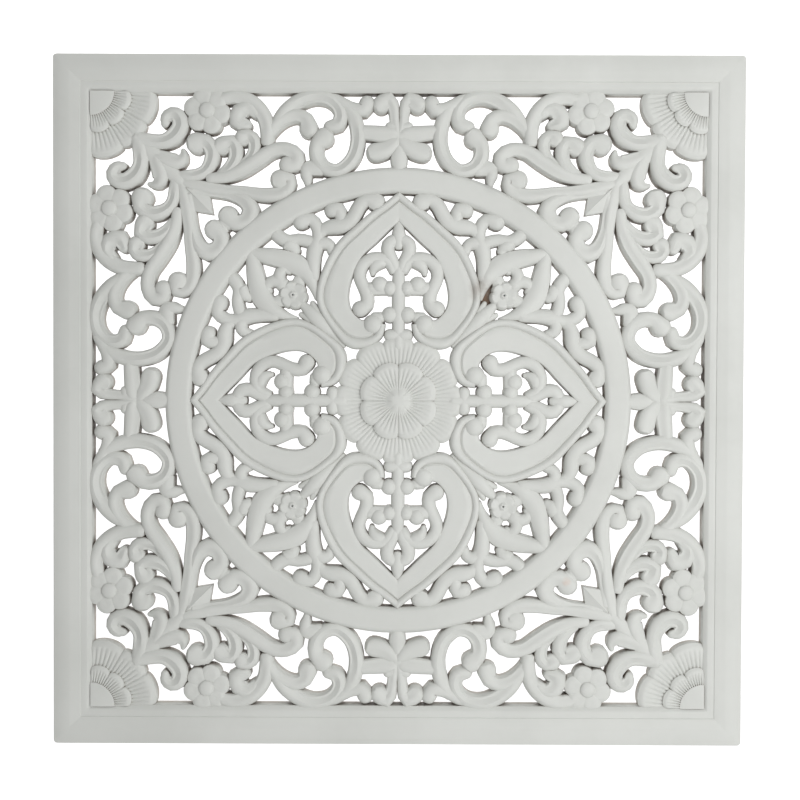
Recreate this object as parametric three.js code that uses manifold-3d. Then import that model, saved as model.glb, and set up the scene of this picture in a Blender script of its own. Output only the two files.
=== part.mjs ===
// Square openwork wall panel: one routed and carved board, painted white.
// A moulded frame holds a wide ring. Four hearts, a rosette and leaf scrolls fill the ring,
// and scrolls, palmettes, flowers and corner fans fill the space between ring and frame.
//
// The carving is drawn flat (x right, y up, z out of the board, back face at z = 0) and then
// stood up: the finished panel lies in the XZ plane with its face towards -Y and its back on
// y = 0. The origin is on the back of the top rail, where the panel hangs. Millimetres.

import * as THREE from 'three';
import { ConvexGeometry } from 'three/addons/geometries/ConvexGeometry.js';
import { mergeVertices } from 'three/addons/utils/BufferGeometryUtils.js';
import Module from 'manifold-3d';

const wasm = await Module();
wasm.setup();

// Frame, from its outer edge inwards
const panelSide = 600;
const boardThickness = 20;
const cornerRadius = 3;
const edgeBevel = 1.2;
const cornerSegments = 3;
const bandWidth = 14.5;
const coveWidth = 8.7;
const lipWidth = 5.8;
const lipBevel = 3.5;
const lipHeight = 17;
const lipWall = 13.5;

// Ring
const ringOuter = 203.6;
const ringInner = 180.6;
const ringHeight = 17;
const ringBevel = 2.6;
const ringSides = 40;

// Fretwork
const crestHeight = 15.5;
const planError = 0.45;
const strokeSpread = 0.35;
const strokeLoss = 1.3;
const gapLoss = 2.4;
const cornerPrice = 0.3;
const smallestOpening = 30;
const stepsPerKnot = 5;
const endTurns = [30, 58, 78];

// Height of the slabs that only lay out the plan, how deep raised pieces reach into the board
// below them, and how far cutters stand out of it
const planHeight = 1;
const footTolerance = 0.01;
const footDepth = 1;
const cutterExcess = 2;
const clearingMargin = 1.8;

// Sides of round pieces, by size
const discSides = 24;
const hubSides = 12;
const bossSides = 8;

// Hearts: a bead along the outer edge, a groove, and a flat band inside it
const grooveHeight = 13;
const bandHeight = 15;
const heartError = 2.4;
const grooveSlope = 1;
const overcut = 1.5;
const bandStart = 6;
const bandShare = 0.84;
const heartSteps = 4;

// Central rosette
const rosetteRadius = 53;
const rosetteNotch = 1.8;
const rosettePetals = 12;
const rosetteRim = 13;
const rosetteSwell = 15.5;
const rosetteSwellShare = 0.86;
const rosetteDip = 13.8;
const petalRoundness = 0.6;
const innerFlowerRadius = 33.4;
const innerFlowerNotch = 3.4;
const innerFlowerPetals = 8;
const innerFlowerWall = 16;
const innerFlowerSwell = 18;
const innerFlowerSwellShare = 0.72;
const bossRadius = 10;
const bossHeight = 19;
const bossShoulder = 18.3;
const bossShoulderShare = 0.6;

// Corner fans: quarter rosettes, each in a corner of the opening, with their middle behind its edge
const fanInset = 1;
const fanRadius = 57.8;
const fanNotch = 3;
const fanRim = 13;
const fanSwell = 15;
const fanSwellShare = 0.82;
const fanInnerRadius = 36;
const fanInnerNotch = 5;
const fanInnerWall = 15.5;
const fanInnerSwell = 17;
const fanInnerSwellShare = 0.75;
const fanDiscRadius = 21;
const fanDiscHeight = 18;
const fanDiscWall = 16;
const fanPetals = 12;

// Six-petalled flowers beside the corner scrolls
const flowerCentre = [165.5, 250];
const flowerPetals = 6;
const flowerTurn = 13;
const petalReach = 11.5;
const petalRadius = 9.2;
const flowerBossRadius = 6.7;
const flowerBossCrest = 17.5;

// Small round flowers inside the ring, and the floor left in one gap beside one of them
const roundFlower = [91.3, 91.3];
const roundFlowerRadius = 12.8;
const roundFlowerBossRadius = 6;
const roundFlowerCrest = 17;
const pocketFloor = 7;

// Worked-out sizes of the frame
const half = panelSide / 2;
const opening = half - bandWidth - coveWidth - lipWidth - lipBevel;
const railCentre = (half + opening) / 2;
const fanCentre = opening + fanInset;

// The scrollwork below is drawn for this opening and ring. Where the real ones differ, seat()
// moves its points: outside the ring along their rays, inside it by the ring's own scale.
const drawnOpening = 265.1;
const drawnRingOuter = 201.8;
const drawnRingInner = 179;

// Strokes are splines through a few hand-placed knots, [x, y, half width]. They are drawn in
// one eighth of the panel, between the upright axis and the diagonal to the upper right.
const outerStrokes = {
  palmetteLobe: [[0, 224, 2.5], [0, 213, 6], [0, 200, 6.5]],
  palmetteLower: [[3, 226, 5], [12, 219.5, 7.5], [20, 215.5, 8.6]],
  palmetteMiddle: [[2, 231.5, 5], [13, 231.5, 6.2], [24, 231.8, 7], [30, 232, 7]],
  palmetteArm: [[3, 228, 4], [4.4, 240, 4.6], [5.2, 250, 5], [9, 260.5, 6.5], [15.5, 256, 7.3]],
  sideHook: [[48, 256, 5.5], [39, 252, 5.3], [31, 251.5, 6], [27.8, 257, 6.2]],
  bigCurl: [
    [106.5, 239, 4.5], [98.7, 248.8, 6], [87.3, 257.9, 6.2], [74, 262.6, 6], [61, 260.5, 5.5],
    [52.5, 253, 5.3], [50.3, 245, 5.9], [53.2, 238.8, 5.9], [60, 236.8, 4.7],
  ],
  loop: [
    [47, 257, 4.5], [40, 247, 5.6], [36, 234, 6], [36, 221, 5.9], [41, 208, 5.8],
    [53, 198.8, 5.6], [65, 202, 5.8], [71, 211.5, 6.1], [70.8, 221, 6.2], [65, 227.3, 8.3],
  ],
  loopTail: [[66, 200, 5.5], [76, 201, 6.5], [80, 199, 6], [79, 190, 3.2], [78.5, 186, 2]],
  innerCurl: [
    [113, 228, 4], [107, 237, 5.2], [98, 244, 5.6], [88, 246.3, 5.5], [80.5, 243, 6],
    [78.2, 235.3, 7.8],
  ],
  longScroll: [
    [165, 191.5, 4], [150, 193.5, 5], [136, 199, 6], [122, 208, 6.3], [109, 216, 5.7],
    [97, 217, 5.8], [89, 211.5, 6.8], [90, 204.5, 7], [96.5, 203.8, 6.8],
  ],
  lowScroll: [
    [185, 187, 5], [168, 184, 5], [150, 181.5, 4.5], [135, 180.5, 4.5], [118, 177.8, 5.7],
    [104, 178.5, 6], [95.5, 184, 5.5], [94.5, 192, 5], [102.3, 191, 8.5],
  ],
  archStem: [
    [114, 222, 5], [113.8, 232, 5.8], [115.5, 242, 6], [121, 251, 6.5], [130, 258.5, 6.5],
    [142, 262, 6], [153, 260, 5],
  ],
  archCurl: [[122, 247, 4], [129, 252, 5.5], [137, 249.5, 7.5], [138.6, 241.2, 8.2], [132, 238, 4.2]],
  firstFrond: [
    [137, 203, 3.5], [130, 208, 4.2], [125.5, 216, 4.7], [125.5, 224, 5.5], [130, 228.5, 5.5],
    [134.5, 227, 7],
  ],
  secondFrond: [
    [155, 195, 3.5], [148, 200, 4.5], [142.5, 207, 5.5], [141, 216, 6], [145, 223, 6.2],
    [152.5, 220, 7.8],
  ],
  thirdFrond: [
    [183, 193, 6], [174, 195, 5], [167.5, 198.5, 5], [162.5, 206, 6], [161.5, 215, 6.3],
    [167, 223, 6.7], [174.5, 222.3, 9],
  ],
  cornerScroll: [
    [228, 226, 6], [215, 223.5, 6.3], [203, 223.5, 6.3], [193.5, 229, 7.3], [188.8, 237.5, 7],
    [191, 245, 6.5], [196.5, 247, 5.8], [201.3, 243.3, 4.9], [202.3, 239, 3],
  ],
  cornerLeaf: [[206, 208, 8], [197, 207, 7], [190.3, 207, 6.2], [186.8, 211.3, 3.5], [187.3, 215.3, 1.5]],
  cornerSpine: [[226, 226, 9], [212, 212, 8], [200, 200, 7], [190, 190, 7]],
  ringHook: [
    [178, 181, 4], [160, 179.5, 3.5], [145, 177, 4], [133, 172, 6], [128.1, 165, 7.3],
    [131.7, 155.7, 7.2], [141, 153.7, 6.9], [147.6, 159.5, 8.3],
  ],
  ringHookWeb: [[146, 152, 4.5], [153, 153, 3.8]],
};

const innerStrokes = {
  crownScroll: [
    [69.5, 142, 4], [65, 148, 4.8], [57, 150.6, 6.3], [49, 151.3, 6.4], [41.5, 155.7, 6.2],
    [37.3, 162.3, 5.8], [33, 170, 5.8], [27, 174, 5.8], [19.8, 171.9, 7.6],
  ],
  crownHook: [[50, 154, 4.5], [50.3, 160, 5.1], [52.3, 165.7, 6], [57.8, 164.8, 6.2]],
  sideStem: [
    [73.5, 105, 5], [73.8, 121, 5.7], [72.8, 131, 6.2], [69.6, 142, 4.8], [70.8, 150.5, 4.9],
    [76, 156.8, 5.3], [84.5, 155.2, 6.9],
  ],
  stemHook: [[72, 128, 5], [69.5, 135, 5.3], [64, 136.5, 5], [59.5, 134, 4.3], [58, 129.5, 3.5]],
  stemBranch: [
    [71, 134, 4.5], [78, 137.8, 4.8], [87, 139.5, 4.6], [95, 138, 5], [101, 140, 5.3],
    [106, 144, 5.3],
  ],
  branchHook: [[97, 136, 5.5], [91.5, 133, 5.3], [89.5, 130, 4]],
  ogive: [
    [70.8, 88, 1.2], [72, 94, 2.6], [74.8, 102.5, 5], [79.8, 110.5, 7.2], [87.7, 117.4, 8.7],
    [97, 121.4, 8.4], [107, 123.8, 7.4], [117, 125.5, 6.5], [127, 127, 6],
  ],
  flowerCurl: [[99, 99, 6], [103.3, 105, 5], [102.5, 111, 4.6], [98, 114, 4], [95, 112.7, 3.2]],
  flowerWeb: [[88, 98, 6], [85, 106, 4.5]],
  flowerStalk: [
    [88, 88, 3], [82, 82, 4], [77.5, 77.5, 7.6], [72, 72, 7], [64, 64, 4.4], [56, 56, 2.5],
    [48, 48, 1.5],
  ],
  calyxLeaf: [[70, 70, 5], [72, 77, 4], [73, 84, 2.2]],
  bud: [[0, 136, 4], [0, 143, 5.4], [0, 150, 4], [0, 156, 1.5]],
  budCurl: [[1.5, 112, 3.5], [5, 121, 4.5], [9, 128.5, 5.2], [8.6, 135.5, 5.4], [4, 139.5, 4.5]],
  lilyScroll: [
    [4, 112, 3.5], [9, 121, 4.5], [18, 123.8, 4.8], [27, 121.5, 4.8], [33, 114.5, 5],
    [33.8, 107, 4.8], [30.5, 99, 4.8], [27.2, 91, 5.2], [27.5, 83.5, 5.5], [33, 79.5, 6.7],
  ],
  lilyDrop: [[12, 121, 4.2], [18.8, 118.5, 5], [22, 113.5, 3.2], [22.5, 110, 1.5]],
  lilyArm: [[26, 97, 5], [8, 97.5, 5]],
  lilyStem: [[0, 120, 2.5], [0, 110, 4.5], [0, 85, 5.2], [0, 60, 4.7], [0, 48, 4.7]],
  heartBridge: [[22, 72, 4], [16, 72, 4.5]],
  collar: [[0, 57, 4.6], [7.5, 57, 4.6]],
};

// Round knobs inside the ring, [x, y, radius]
const knobs = [[7.5, 97.5, 6.7], [16.5, 100.5, 7.5], [7.5, 74.6, 7.3], [18.5, 62, 8.3]];

// A heart's right half, from its tip at the ring round to its lobe: the outer edge, the groove
// and the inner edge, point by point across the band
const heartOuter = [
  [0, 181.5], [13, 171], [24.4, 163.5], [39.8, 150.1], [54.5, 136.3], [65.5, 115.5], [70.8, 99],
  [71.2, 86], [66.5, 73.5], [57, 60], [49, 50], [40, 44.8], [30, 45.3], [20.5, 49], [13, 56],
  [11, 66.5],
];
const heartGroove = [
  [0, 173], [8.7, 166], [19.7, 158], [34.5, 144.7], [49, 130], [59, 112], [64.3, 97],
  [64.4, 86], [60.3, 76], [52, 64], [44, 56.5], [38, 55.5], [31, 54], [25.5, 55.3],
  [20.5, 58.5], [17.5, 66],
];
const heartInner = [
  [0, 155], [0.5, 154.5], [8.5, 146.5], [20, 135], [31, 125.5], [39.5, 108], [42.5, 95],
  [42.3, 85], [39.5, 77.5], [35, 72], [31, 70.5], [28, 71], [26, 72], [24, 76],
  [20, 76.5], [16, 76.5],
];

// Pointed leaf on the diagonal, and the outline of the one gap that was left with a floor
const diagonalLeaf = [[184, 184], [163.5, 176.5], [161, 161], [176.5, 163.5]];
const pocket = [[70, 84], [79, 83], [85, 104], [80, 106], [71, 96]];

function toSolid(geometry) {
  geometry.deleteAttribute('normal');
  geometry.deleteAttribute('uv');
  const merged = mergeVertices(geometry, 1e-4);
  const vertProperties = new Float32Array(merged.attributes.position.array);
  const triVerts = [];
  const index = merged.index.array;
  for (let i = 0; i < index.length; i += 3) {
    const [a, b, c] = [index[i], index[i + 1], index[i + 2]];
    if (a !== b && b !== c && c !== a) triVerts.push(a, b, c);
  }
  return new wasm.Manifold(
    new wasm.Mesh({ numProp: 3, vertProperties, triVerts: new Uint32Array(triVerts) }),
  );
}

function toGeometry(solid) {
  const mesh = solid.getMesh();
  const geometry = new THREE.BufferGeometry();
  geometry.setAttribute('position', new THREE.BufferAttribute(mesh.vertProperties, 3));
  geometry.setIndex(new THREE.BufferAttribute(mesh.triVerts, 1));
  return geometry;
}

function join(solids) {
  let joined = solids[0];
  for (const solid of solids.slice(1)) joined = joined.add(solid);
  return joined;
}

// Where the real ring and frame want a point of the drawing, and how much wider things are there
function seat([x, y]) {
  const reach = Math.hypot(x, y);
  if (reach < drawnRingInner) {
    const scale = ringInner / drawnRingInner;
    return { x: x * scale, y: y * scale, stretch: scale };
  }
  const across = Math.max(Math.abs(x), Math.abs(y)) / reach;
  const outwards = (opening / across - ringOuter) / (drawnOpening / across - drawnRingOuter);
  const scale = (ringOuter + (reach - drawnRingOuter) * outwards) / reach;
  return { x: x * scale, y: y * scale, stretch: Math.sqrt(outwards * scale) };
}

function seatFlat(point) {
  const { x, y } = seat(point);
  return new THREE.Vector3(x, y, 0);
}

// Splits a run of sections until no corner lies further than the error from a straight span
function thin(sections, error, from = 0, to = sections.length - 1) {
  let worst = 0;
  let at = -1;
  for (let i = from + 1; i < to; i += 1) {
    for (let corner = 0; corner < sections[i].length; corner += 1) {
      const span = new THREE.Line3(sections[from][corner], sections[to][corner]);
      const nearest = span.closestPointToPoint(sections[i][corner], true, new THREE.Vector3());
      const miss = nearest.distanceTo(sections[i][corner]);
      if (miss > worst) [worst, at] = [miss, i];
    }
  }
  if (worst <= error) return [sections[from], sections[to]];
  return [...thin(sections, error, from, at).slice(0, -1), ...thin(sections, error, at, to)];
}

function hullRun(sections) {
  const spans = [];
  for (let i = 1; i < sections.length; i += 1) {
    spans.push(toSolid(new ConvexGeometry([...sections[i - 1], ...sections[i]])));
  }
  return join(spans);
}

// A closed skin through a run of four-cornered sections
function loft(sections) {
  const faces = [[0, 1, 2], [0, 2, 3]];
  const corners = sections[0].length;
  for (let i = 0; i < sections.length - 1; i += 1) {
    for (let k = 0; k < corners; k += 1) {
      const [a, b] = [i * corners + k, i * corners + ((k + 1) % corners)];
      faces.push([a, a + corners, b], [b, a + corners, b + corners]);
    }
  }
  const end = (sections.length - 1) * corners;
  faces.push([end, end + 2, end + 1], [end, end + 3, end + 2]);
  const geometry = new THREE.BufferGeometry().setFromPoints(sections.flat());
  geometry.setIndex(faces.flat());
  const solid = toSolid(geometry);
  if (solid.volume() > 0) return solid;
  geometry.setIndex(faces.flatMap(([a, b, c]) => [a, c, b]));
  return toSolid(geometry);
}

// Stations along a stroke: place, heading and half width, with a round end after the last knot
function stations(knots) {
  const seated = knots.map(([x, y, halfWidth]) => {
    const spot = seat([x, y]);
    return new THREE.Vector3(spot.x, spot.y, halfWidth * spot.stretch + strokeSpread);
  });
  const path = new THREE.CatmullRomCurve3(seated, false, 'centripetal');
  const steps = (knots.length - 1) * stepsPerKnot;
  const places = [];
  for (let i = 0; i <= steps; i += 1) {
    const point = path.getPoint(i / steps);
    const tangent = path.getTangent(i / steps);
    places.push({ point, heading: Math.atan2(tangent.y, tangent.x) });
  }
  const { point: end, heading } = places.at(-1);
  for (const turn of endTurns.map(THREE.MathUtils.degToRad)) {
    const forward = end.z * Math.sin(turn);
    const x = end.x + Math.cos(heading) * forward;
    const y = end.y + Math.sin(heading) * forward;
    places.push({ point: new THREE.Vector3(x, y, end.z * Math.cos(turn)), heading });
  }
  return places;
}

// The plan of a stroke as a flat slab
function strokePlan(knots) {
  const sections = stations(knots).map(({ point, heading }) => {
    const across = new THREE.Vector3(-Math.sin(heading), Math.cos(heading), 0);
    const edge = (side, height) => new THREE.Vector3(point.x, point.y, height)
      .addScaledVector(across, side * point.z);
    return [edge(1, 0), edge(1, planHeight), edge(-1, planHeight), edge(-1, 0)];
  });
  return hullRun(thin(sections, planError));
}

// A solid of revolution that stands on the board at x, y: [radius, height] pairs inwards
function turned(x, y, foot, profile, sides) {
  const points = [[0, foot], [profile[0][0], foot], ...profile];
  const outline = points.map(([radius, height]) => new THREE.Vector2(radius, height));
  return new THREE.LatheGeometry(outline, sides).rotateX(Math.PI / 2).translate(x, y, 0);
}

// A turned disc whose rim is drawn in between its petals; turn = 0 puts a notch on the +x axis
function petalDisc(x, y, foot, profile, petals, notch, turn, stepsPerPetal = 3) {
  const rim = profile[0][0];
  const geometry = turned(0, 0, foot, profile, petals * stepsPerPetal);
  const position = geometry.attributes.position;
  for (let i = 0; i < position.count; i += 1) {
    const [px, py] = [position.getX(i), position.getY(i)];
    const reach = Math.hypot(px, py);
    const angle = Math.atan2(py, px) - turn;
    const draw = 1 - Math.abs(Math.sin(angle * petals / 2)) ** petalRoundness;
    const scale = 1 - (draw * notch * reach) / rim ** 2;
    position.setXY(i, px * scale, py * scale);
  }
  return toSolid(geometry.translate(x, y, 0));
}

// The plan of the flower beside the corner scroll: its petals round a hub
function flowerPlan() {
  const { x, y, stretch } = seat(flowerCentre);
  const reach = petalReach * stretch;
  const petals = Array.from({ length: flowerPetals }, (_, i) => {
    const angle = THREE.MathUtils.degToRad(flowerTurn + (360 / flowerPetals) * i);
    const [px, py] = [x + reach * Math.cos(angle), y + reach * Math.sin(angle)];
    return slabDisc(px, py, petalRadius * stretch, discSides);
  });
  return join([...petals, slabDisc(x, y, reach, hubSides)]);
}

// The two halves of a heart's right side, as rows of points from its tip round to its lobe
function heartRows() {
  const edge = (points) => {
    const path = new THREE.CatmullRomCurve3(points.map(seatFlat), false, 'centripetal');
    return path.getPoints(points.length * heartSteps);
  };
  const [outer, groove, inner] = [edge(heartOuter), edge(heartGroove), edge(heartInner)];
  return outer.map((point, i) => ({ outer: point, groove: groove[i], inner: inner[i] }));
}

function heartPlan() {
  const rows = heartRows().map(({ outer, inner }) => [
    outer, outer.clone().setZ(planHeight), inner.clone().setZ(planHeight), inner,
  ]);
  return hullRun(rows);
}

// What is cut away beside the bead of a heart: a sloping groove and the band inside it
function heartCut() {
  const above = crestHeight + cutterExcess;
  const rows = heartRows().map(({ groove, inner }) => {
    const across = inner.clone().sub(groove).normalize();
    const past = inner.clone().addScaledVector(across, overcut);
    return [
      groove.clone().setZ(grooveHeight),
      groove.clone().addScaledVector(across, -grooveSlope).setZ(above),
      past.clone().setZ(above),
      past.clone().setZ(bandHeight),
    ];
  });
  const last = Math.round(rows.length * bandShare);
  return loft(thin(rows.slice(bandStart, last), heartError));
}

function leafPlan() {
  const base = diagonalLeaf.map(seatFlat);
  return toSolid(new ConvexGeometry([...base, ...base.map((p) => p.clone().setZ(planHeight))]));
}

function slabDisc(x, y, radius, sides) {
  return toSolid(turned(x, y, 0, [[radius, planHeight], [0, planHeight]], sides));
}

// The plan of a round piece of the drawing
function roundPlan([x, y, radius]) {
  const spot = seat([x, y]);
  return slabDisc(spot.x, spot.y, radius * spot.stretch, discSides);
}

// The plan of everything in one eighth of the panel
function planOctant() {
  const strokes = [...Object.values(outerStrokes), ...Object.values(innerStrokes)];
  return join([
    ...strokes.map(strokePlan),
    ...knobs.map(roundPlan),
    roundPlan([...roundFlower, roundFlowerRadius]),
    flowerPlan(), heartPlan(), leafPlan(),
  ]);
}

// Bosses that stand on the board in one eighth of the panel
function bossesOctant() {
  const boss = (centre, radius, height) => {
    const { x, y, stretch } = seat(centre);
    const profile = [[radius * stretch, crestHeight], [0, height]];
    return toSolid(turned(x, y, crestHeight - footDepth, profile, bossSides));
  };
  return join([
    boss(flowerCentre, flowerBossRadius, flowerBossCrest),
    boss(roundFlower, roundFlowerBossRadius, roundFlowerCrest),
  ]);
}

// Mirrors an eighth at the diagonal and at both axes
function eightfold(solid) {
  const swap = new THREE.Matrix4().set(0, 1, 0, 0, 1, 0, 0, 0, 0, 0, 1, 0, 0, 0, 0, 1);
  const copies = [];
  for (const [signX, signY] of [[1, 1], [-1, 1], [-1, -1], [1, -1]]) {
    for (const swapped of [false, true]) {
      const matrix = new THREE.Matrix4().makeScale(signX, signY, 1);
      if (swapped) matrix.multiply(swap);
      const geometry = toGeometry(solid).applyMatrix4(matrix);
      if (matrix.determinant() < 0) geometry.index.array.reverse();
      copies.push(toSolid(geometry));
    }
  }
  return join(copies);
}

function fourCorners(solid) {
  const copies = [];
  for (let i = 0; i < 4; i += 1) {
    copies.push(toSolid(toGeometry(solid).rotateZ((i * Math.PI) / 2)));
  }
  return join(copies);
}

function squareRing(steps) {
  const profile = steps.map(([reach, height]) => new THREE.Vector2(reach * Math.SQRT2, height));
  return new THREE.LatheGeometry(profile, 4).rotateX(Math.PI / 2).rotateZ(Math.PI / 4);
}

// The loops around the flat foot of a solid, as lists of [x, y]
function footLoops(solid) {
  const { vertProperties, triVerts } = solid.getMesh();
  const next = new Map();
  for (let i = 0; i < triVerts.length; i += 3) {
    const corners = [triVerts[i], triVerts[i + 1], triVerts[i + 2]];
    if (corners.some((corner) => vertProperties[corner * 3 + 2] > footTolerance)) continue;
    for (let k = 0; k < 3; k += 1) {
      const [a, b] = [corners[k], corners[(k + 1) % 3]];
      if (next.get(b)?.delete(a)) continue;
      if (!next.has(a)) next.set(a, new Set());
      next.get(a).add(b);
    }
  }
  const loops = [];
  for (const [start, ends] of next) {
    while (ends.size > 0) {
      const loop = [];
      let at = start;
      do {
        const [to] = next.get(at);
        next.get(at).delete(to);
        loop.push(new THREE.Vector2(vertProperties[at * 3], vertProperties[at * 3 + 1]));
        at = to;
      } while (at !== start);
      loops.push(loop);
    }
  }
  return loops;
}

// How far a straight line between two points of an outline strays from it, as a share of what
// is allowed: less where it cuts into a stroke (on the left) than where it fills a gap
function strain(row, from, to) {
  const span = row[to].clone().sub(row[from]);
  const shares = row.slice(from + 1, to).map((point) => {
    const offset = point.clone().sub(row[from]);
    const along = THREE.MathUtils.clamp(offset.dot(span) / Math.max(span.lengthSq(), 1e-9), 0, 1);
    const gap = offset.distanceTo(span.clone().multiplyScalar(along));
    return span.cross(offset) > 0 ? gap / strokeLoss : gap / gapLoss;
  });
  return Math.max(0, ...shares);
}

// The closed outline with the fewest corners that stays true to a loop. It starts
// at the loop's point furthest out, so that mirrored loops stay alike.
function thinLoop(loop) {
  const reach = loop.map((point) => Math.round(point.length() * 1e3));
  const first = reach.indexOf(Math.max(...reach));
  const row = [...loop.slice(first), ...loop.slice(0, first + 1)];
  const best = [{ cost: 0, from: 0 }];
  for (let to = 1; to < row.length; to += 1) {
    best[to] = { cost: Infinity, from: 0 };
    for (let from = 0; from < to; from += 1) {
      const share = strain(row, from, to);
      const cost = best[from].cost + 1 + cornerPrice * share ** 2;
      if (share < 1 && cost < best[to].cost) best[to] = { cost, from };
    }
  }
  const outline = [];
  for (let at = row.length - 1; at > 0; at = best[at].from) outline.unshift(row[at]);
  return outline;
}

// The cutter of one opening
function openingCutter(outline) {
  const depth = crestHeight + cutterExcess;
  const prisms = THREE.ShapeUtils.triangulateShape(outline, []).map((face) => {
    const ends = [-cutterExcess, depth].map((height) => face.map((i) => (
      new THREE.Vector3(outline[i].x, outline[i].y, height)
    )));
    return toSolid(new ConvexGeometry(ends.flat()));
  });
  return join(prisms);
}

// The fretted board: every opening is what the plan of the carving leaves free
function frettedBoard() {
  const slabRing = (profile, sides) => toSolid(turned(0, 0, 0, profile, sides));
  const ringPlan = slabRing([[ringOuter, planHeight], [0, planHeight]], ringSides * 2)
    .subtract(slabRing([[ringInner, planHeight], [0, planHeight]], ringSides * 2));
  const framePlan = toSolid(squareRing([
    [half, 0], [half, planHeight], [opening, planHeight], [opening, 0], [half, 0],
  ]));
  const plan = join([
    eightfold(planOctant()), ringPlan, framePlan,
    petalDisc(0, 0, 0, [[rosetteRadius, planHeight], [0, planHeight]], rosettePetals, rosetteNotch,
      Math.PI / rosettePetals, 8),
    fourCorners(petalDisc(fanCentre, fanCentre, 0, [[fanRadius, planHeight], [0, planHeight]],
      fanPetals, fanNotch, 0, 8)),
  ]);
  const side = 2 * (opening + lipBevel);
  const slab = new THREE.BoxGeometry(side, side, crestHeight).translate(0, 0, crestHeight / 2);
  const isOpening = (loop) => {
    const area = Math.abs(THREE.ShapeUtils.area(loop));
    return area > smallestOpening && area < opening ** 2;
  };
  const openings = footLoops(plan).map(thinLoop).filter(isOpening).map(openingCutter);
  const clear = (x, y, foot, radius) => toSolid(
    turned(x, y, foot, [[radius - clearingMargin, boardThickness], [0, boardThickness]], discSides),
  );
  return toSolid(slab)
    .subtract(join(openings))
    .subtract(eightfold(heartCut()))
    .subtract(clear(0, 0, rosetteRim - footDepth, rosetteRadius))
    .subtract(fourCorners(clear(fanCentre, fanCentre, fanRim - footDepth, fanRadius)));
}

function frame() {
  const square = squareRing([
    [half, 0], [half, boardThickness - edgeBevel], [half - edgeBevel, boardThickness],
    [half - bandWidth, boardThickness], [half - bandWidth - coveWidth, lipHeight],
    [opening + lipBevel, lipHeight], [opening, lipWall], [opening, 0], [half, 0],
  ]);
  const outline = new THREE.Shape();
  const straight = half - cornerRadius;
  for (const [turn, x, y] of [[0, 1, 1], [1, -1, 1], [2, -1, -1], [3, 1, -1]]) {
    const start = (turn * Math.PI) / 2;
    outline.absarc(x * straight, y * straight, cornerRadius, start, start + Math.PI / 2);
  }
  outline.closePath();
  const block = new THREE.ExtrudeGeometry(outline, {
    depth: boardThickness + 2 * cutterExcess, bevelEnabled: false, curveSegments: cornerSegments,
  });
  return toSolid(square).intersect(toSolid(block.translate(0, 0, -cutterExcess)));
}

// The raised flat of the ring
function ring() {
  const low = crestHeight - footDepth;
  const profile = [
    [ringOuter - ringBevel, low], [ringOuter - ringBevel, ringHeight],
    [ringInner + ringBevel, ringHeight], [ringInner + ringBevel, low],
    [ringOuter - ringBevel, low],
  ].map(([radius, height]) => new THREE.Vector2(radius, height));
  return toSolid(new THREE.LatheGeometry(profile, ringSides).rotateX(Math.PI / 2));
}

function rosette() {
  const low = footDepth;
  const outer = petalDisc(0, 0, low, [
    [rosetteRadius, rosetteRim], [rosetteRadius * rosetteSwellShare, rosetteSwell],
    [innerFlowerRadius, rosetteDip], [0, rosetteDip],
  ], rosettePetals, rosetteNotch, Math.PI / rosettePetals, 2);
  const inner = petalDisc(0, 0, low, [
    [innerFlowerRadius, innerFlowerWall],
    [innerFlowerRadius * innerFlowerSwellShare, innerFlowerSwell],
    [bossRadius, innerFlowerWall], [0, innerFlowerWall],
  ], innerFlowerPetals, innerFlowerNotch, 0);
  const boss = toSolid(turned(0, 0, low, [
    [bossRadius, innerFlowerWall], [bossRadius * bossShoulderShare, bossShoulder], [0, bossHeight],
  ], bossSides));
  return join([outer, inner, boss]);
}

function cornerFan() {
  const low = footDepth;
  const outer = petalDisc(fanCentre, fanCentre, low, [
    [fanRadius, fanRim], [fanRadius * fanSwellShare, fanSwell], [0, fanSwell],
  ], fanPetals, fanNotch, 0);
  const inner = petalDisc(fanCentre, fanCentre, low, [
    [fanInnerRadius, fanInnerWall], [fanInnerRadius * fanInnerSwellShare, fanInnerSwell],
    [0, fanInnerSwell],
  ], fanPetals, fanInnerNotch, 0);
  const button = toSolid(turned(fanCentre, fanCentre, low, [
    [fanDiscRadius, fanDiscWall], [0, fanDiscHeight],
  ], discSides));
  const window = new THREE.BoxGeometry(fanCentre, fanCentre, boardThickness * 3);
  window.translate(fanCentre / 2, fanCentre / 2, 0);
  return join([outer, inner, button]).intersect(toSolid(window));
}

function pocketWeb() {
  const outline = new THREE.Shape(pocket.map((point) => {
    const { x, y } = seat(point);
    return new THREE.Vector2(x, y);
  }));
  return toSolid(new THREE.ExtrudeGeometry(outline, { depth: pocketFloor, bevelEnabled: false }));
}

// Keeps the largest connected body: where leaning walls meet, slivers can be left at the crest
function largestBody(geometry) {
  const { array } = geometry.index;
  const parent = Array.from({ length: geometry.attributes.position.count }, (_, i) => i);
  const root = (i) => {
    let at = i;
    while (parent[at] !== at) at = parent[at] = parent[parent[at]];
    return at;
  };
  for (let i = 0; i < array.length; i += 3) {
    parent[root(array[i])] = root(array[i + 1]);
    parent[root(array[i + 1])] = root(array[i + 2]);
  }
  const sizes = new Map();
  for (const corner of array) sizes.set(root(corner), (sizes.get(root(corner)) ?? 0) + 1);
  const [largest] = [...sizes].sort((a, b) => b[1] - a[1])[0];
  geometry.setIndex([...array].filter((corner) => root(corner) === largest));
  return geometry;
}

const carving = join([
  frettedBoard(), eightfold(bossesOctant()), ring(), rosette(), fourCorners(cornerFan()),
  pocketWeb(), frame(),
]);

const paintedWood = new THREE.MeshStandardMaterial({
  color: 0xcfd0cb, roughness: 0.62, metalness: 0,
});
const panel = new THREE.Mesh(largestBody(toGeometry(carving)), paintedWood);
panel.name = 'carved_panel';
panel.rotation.x = Math.PI / 2;
panel.position.z = -railCentre;

const model = new THREE.Group();
model.add(panel);

export default model;
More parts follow.
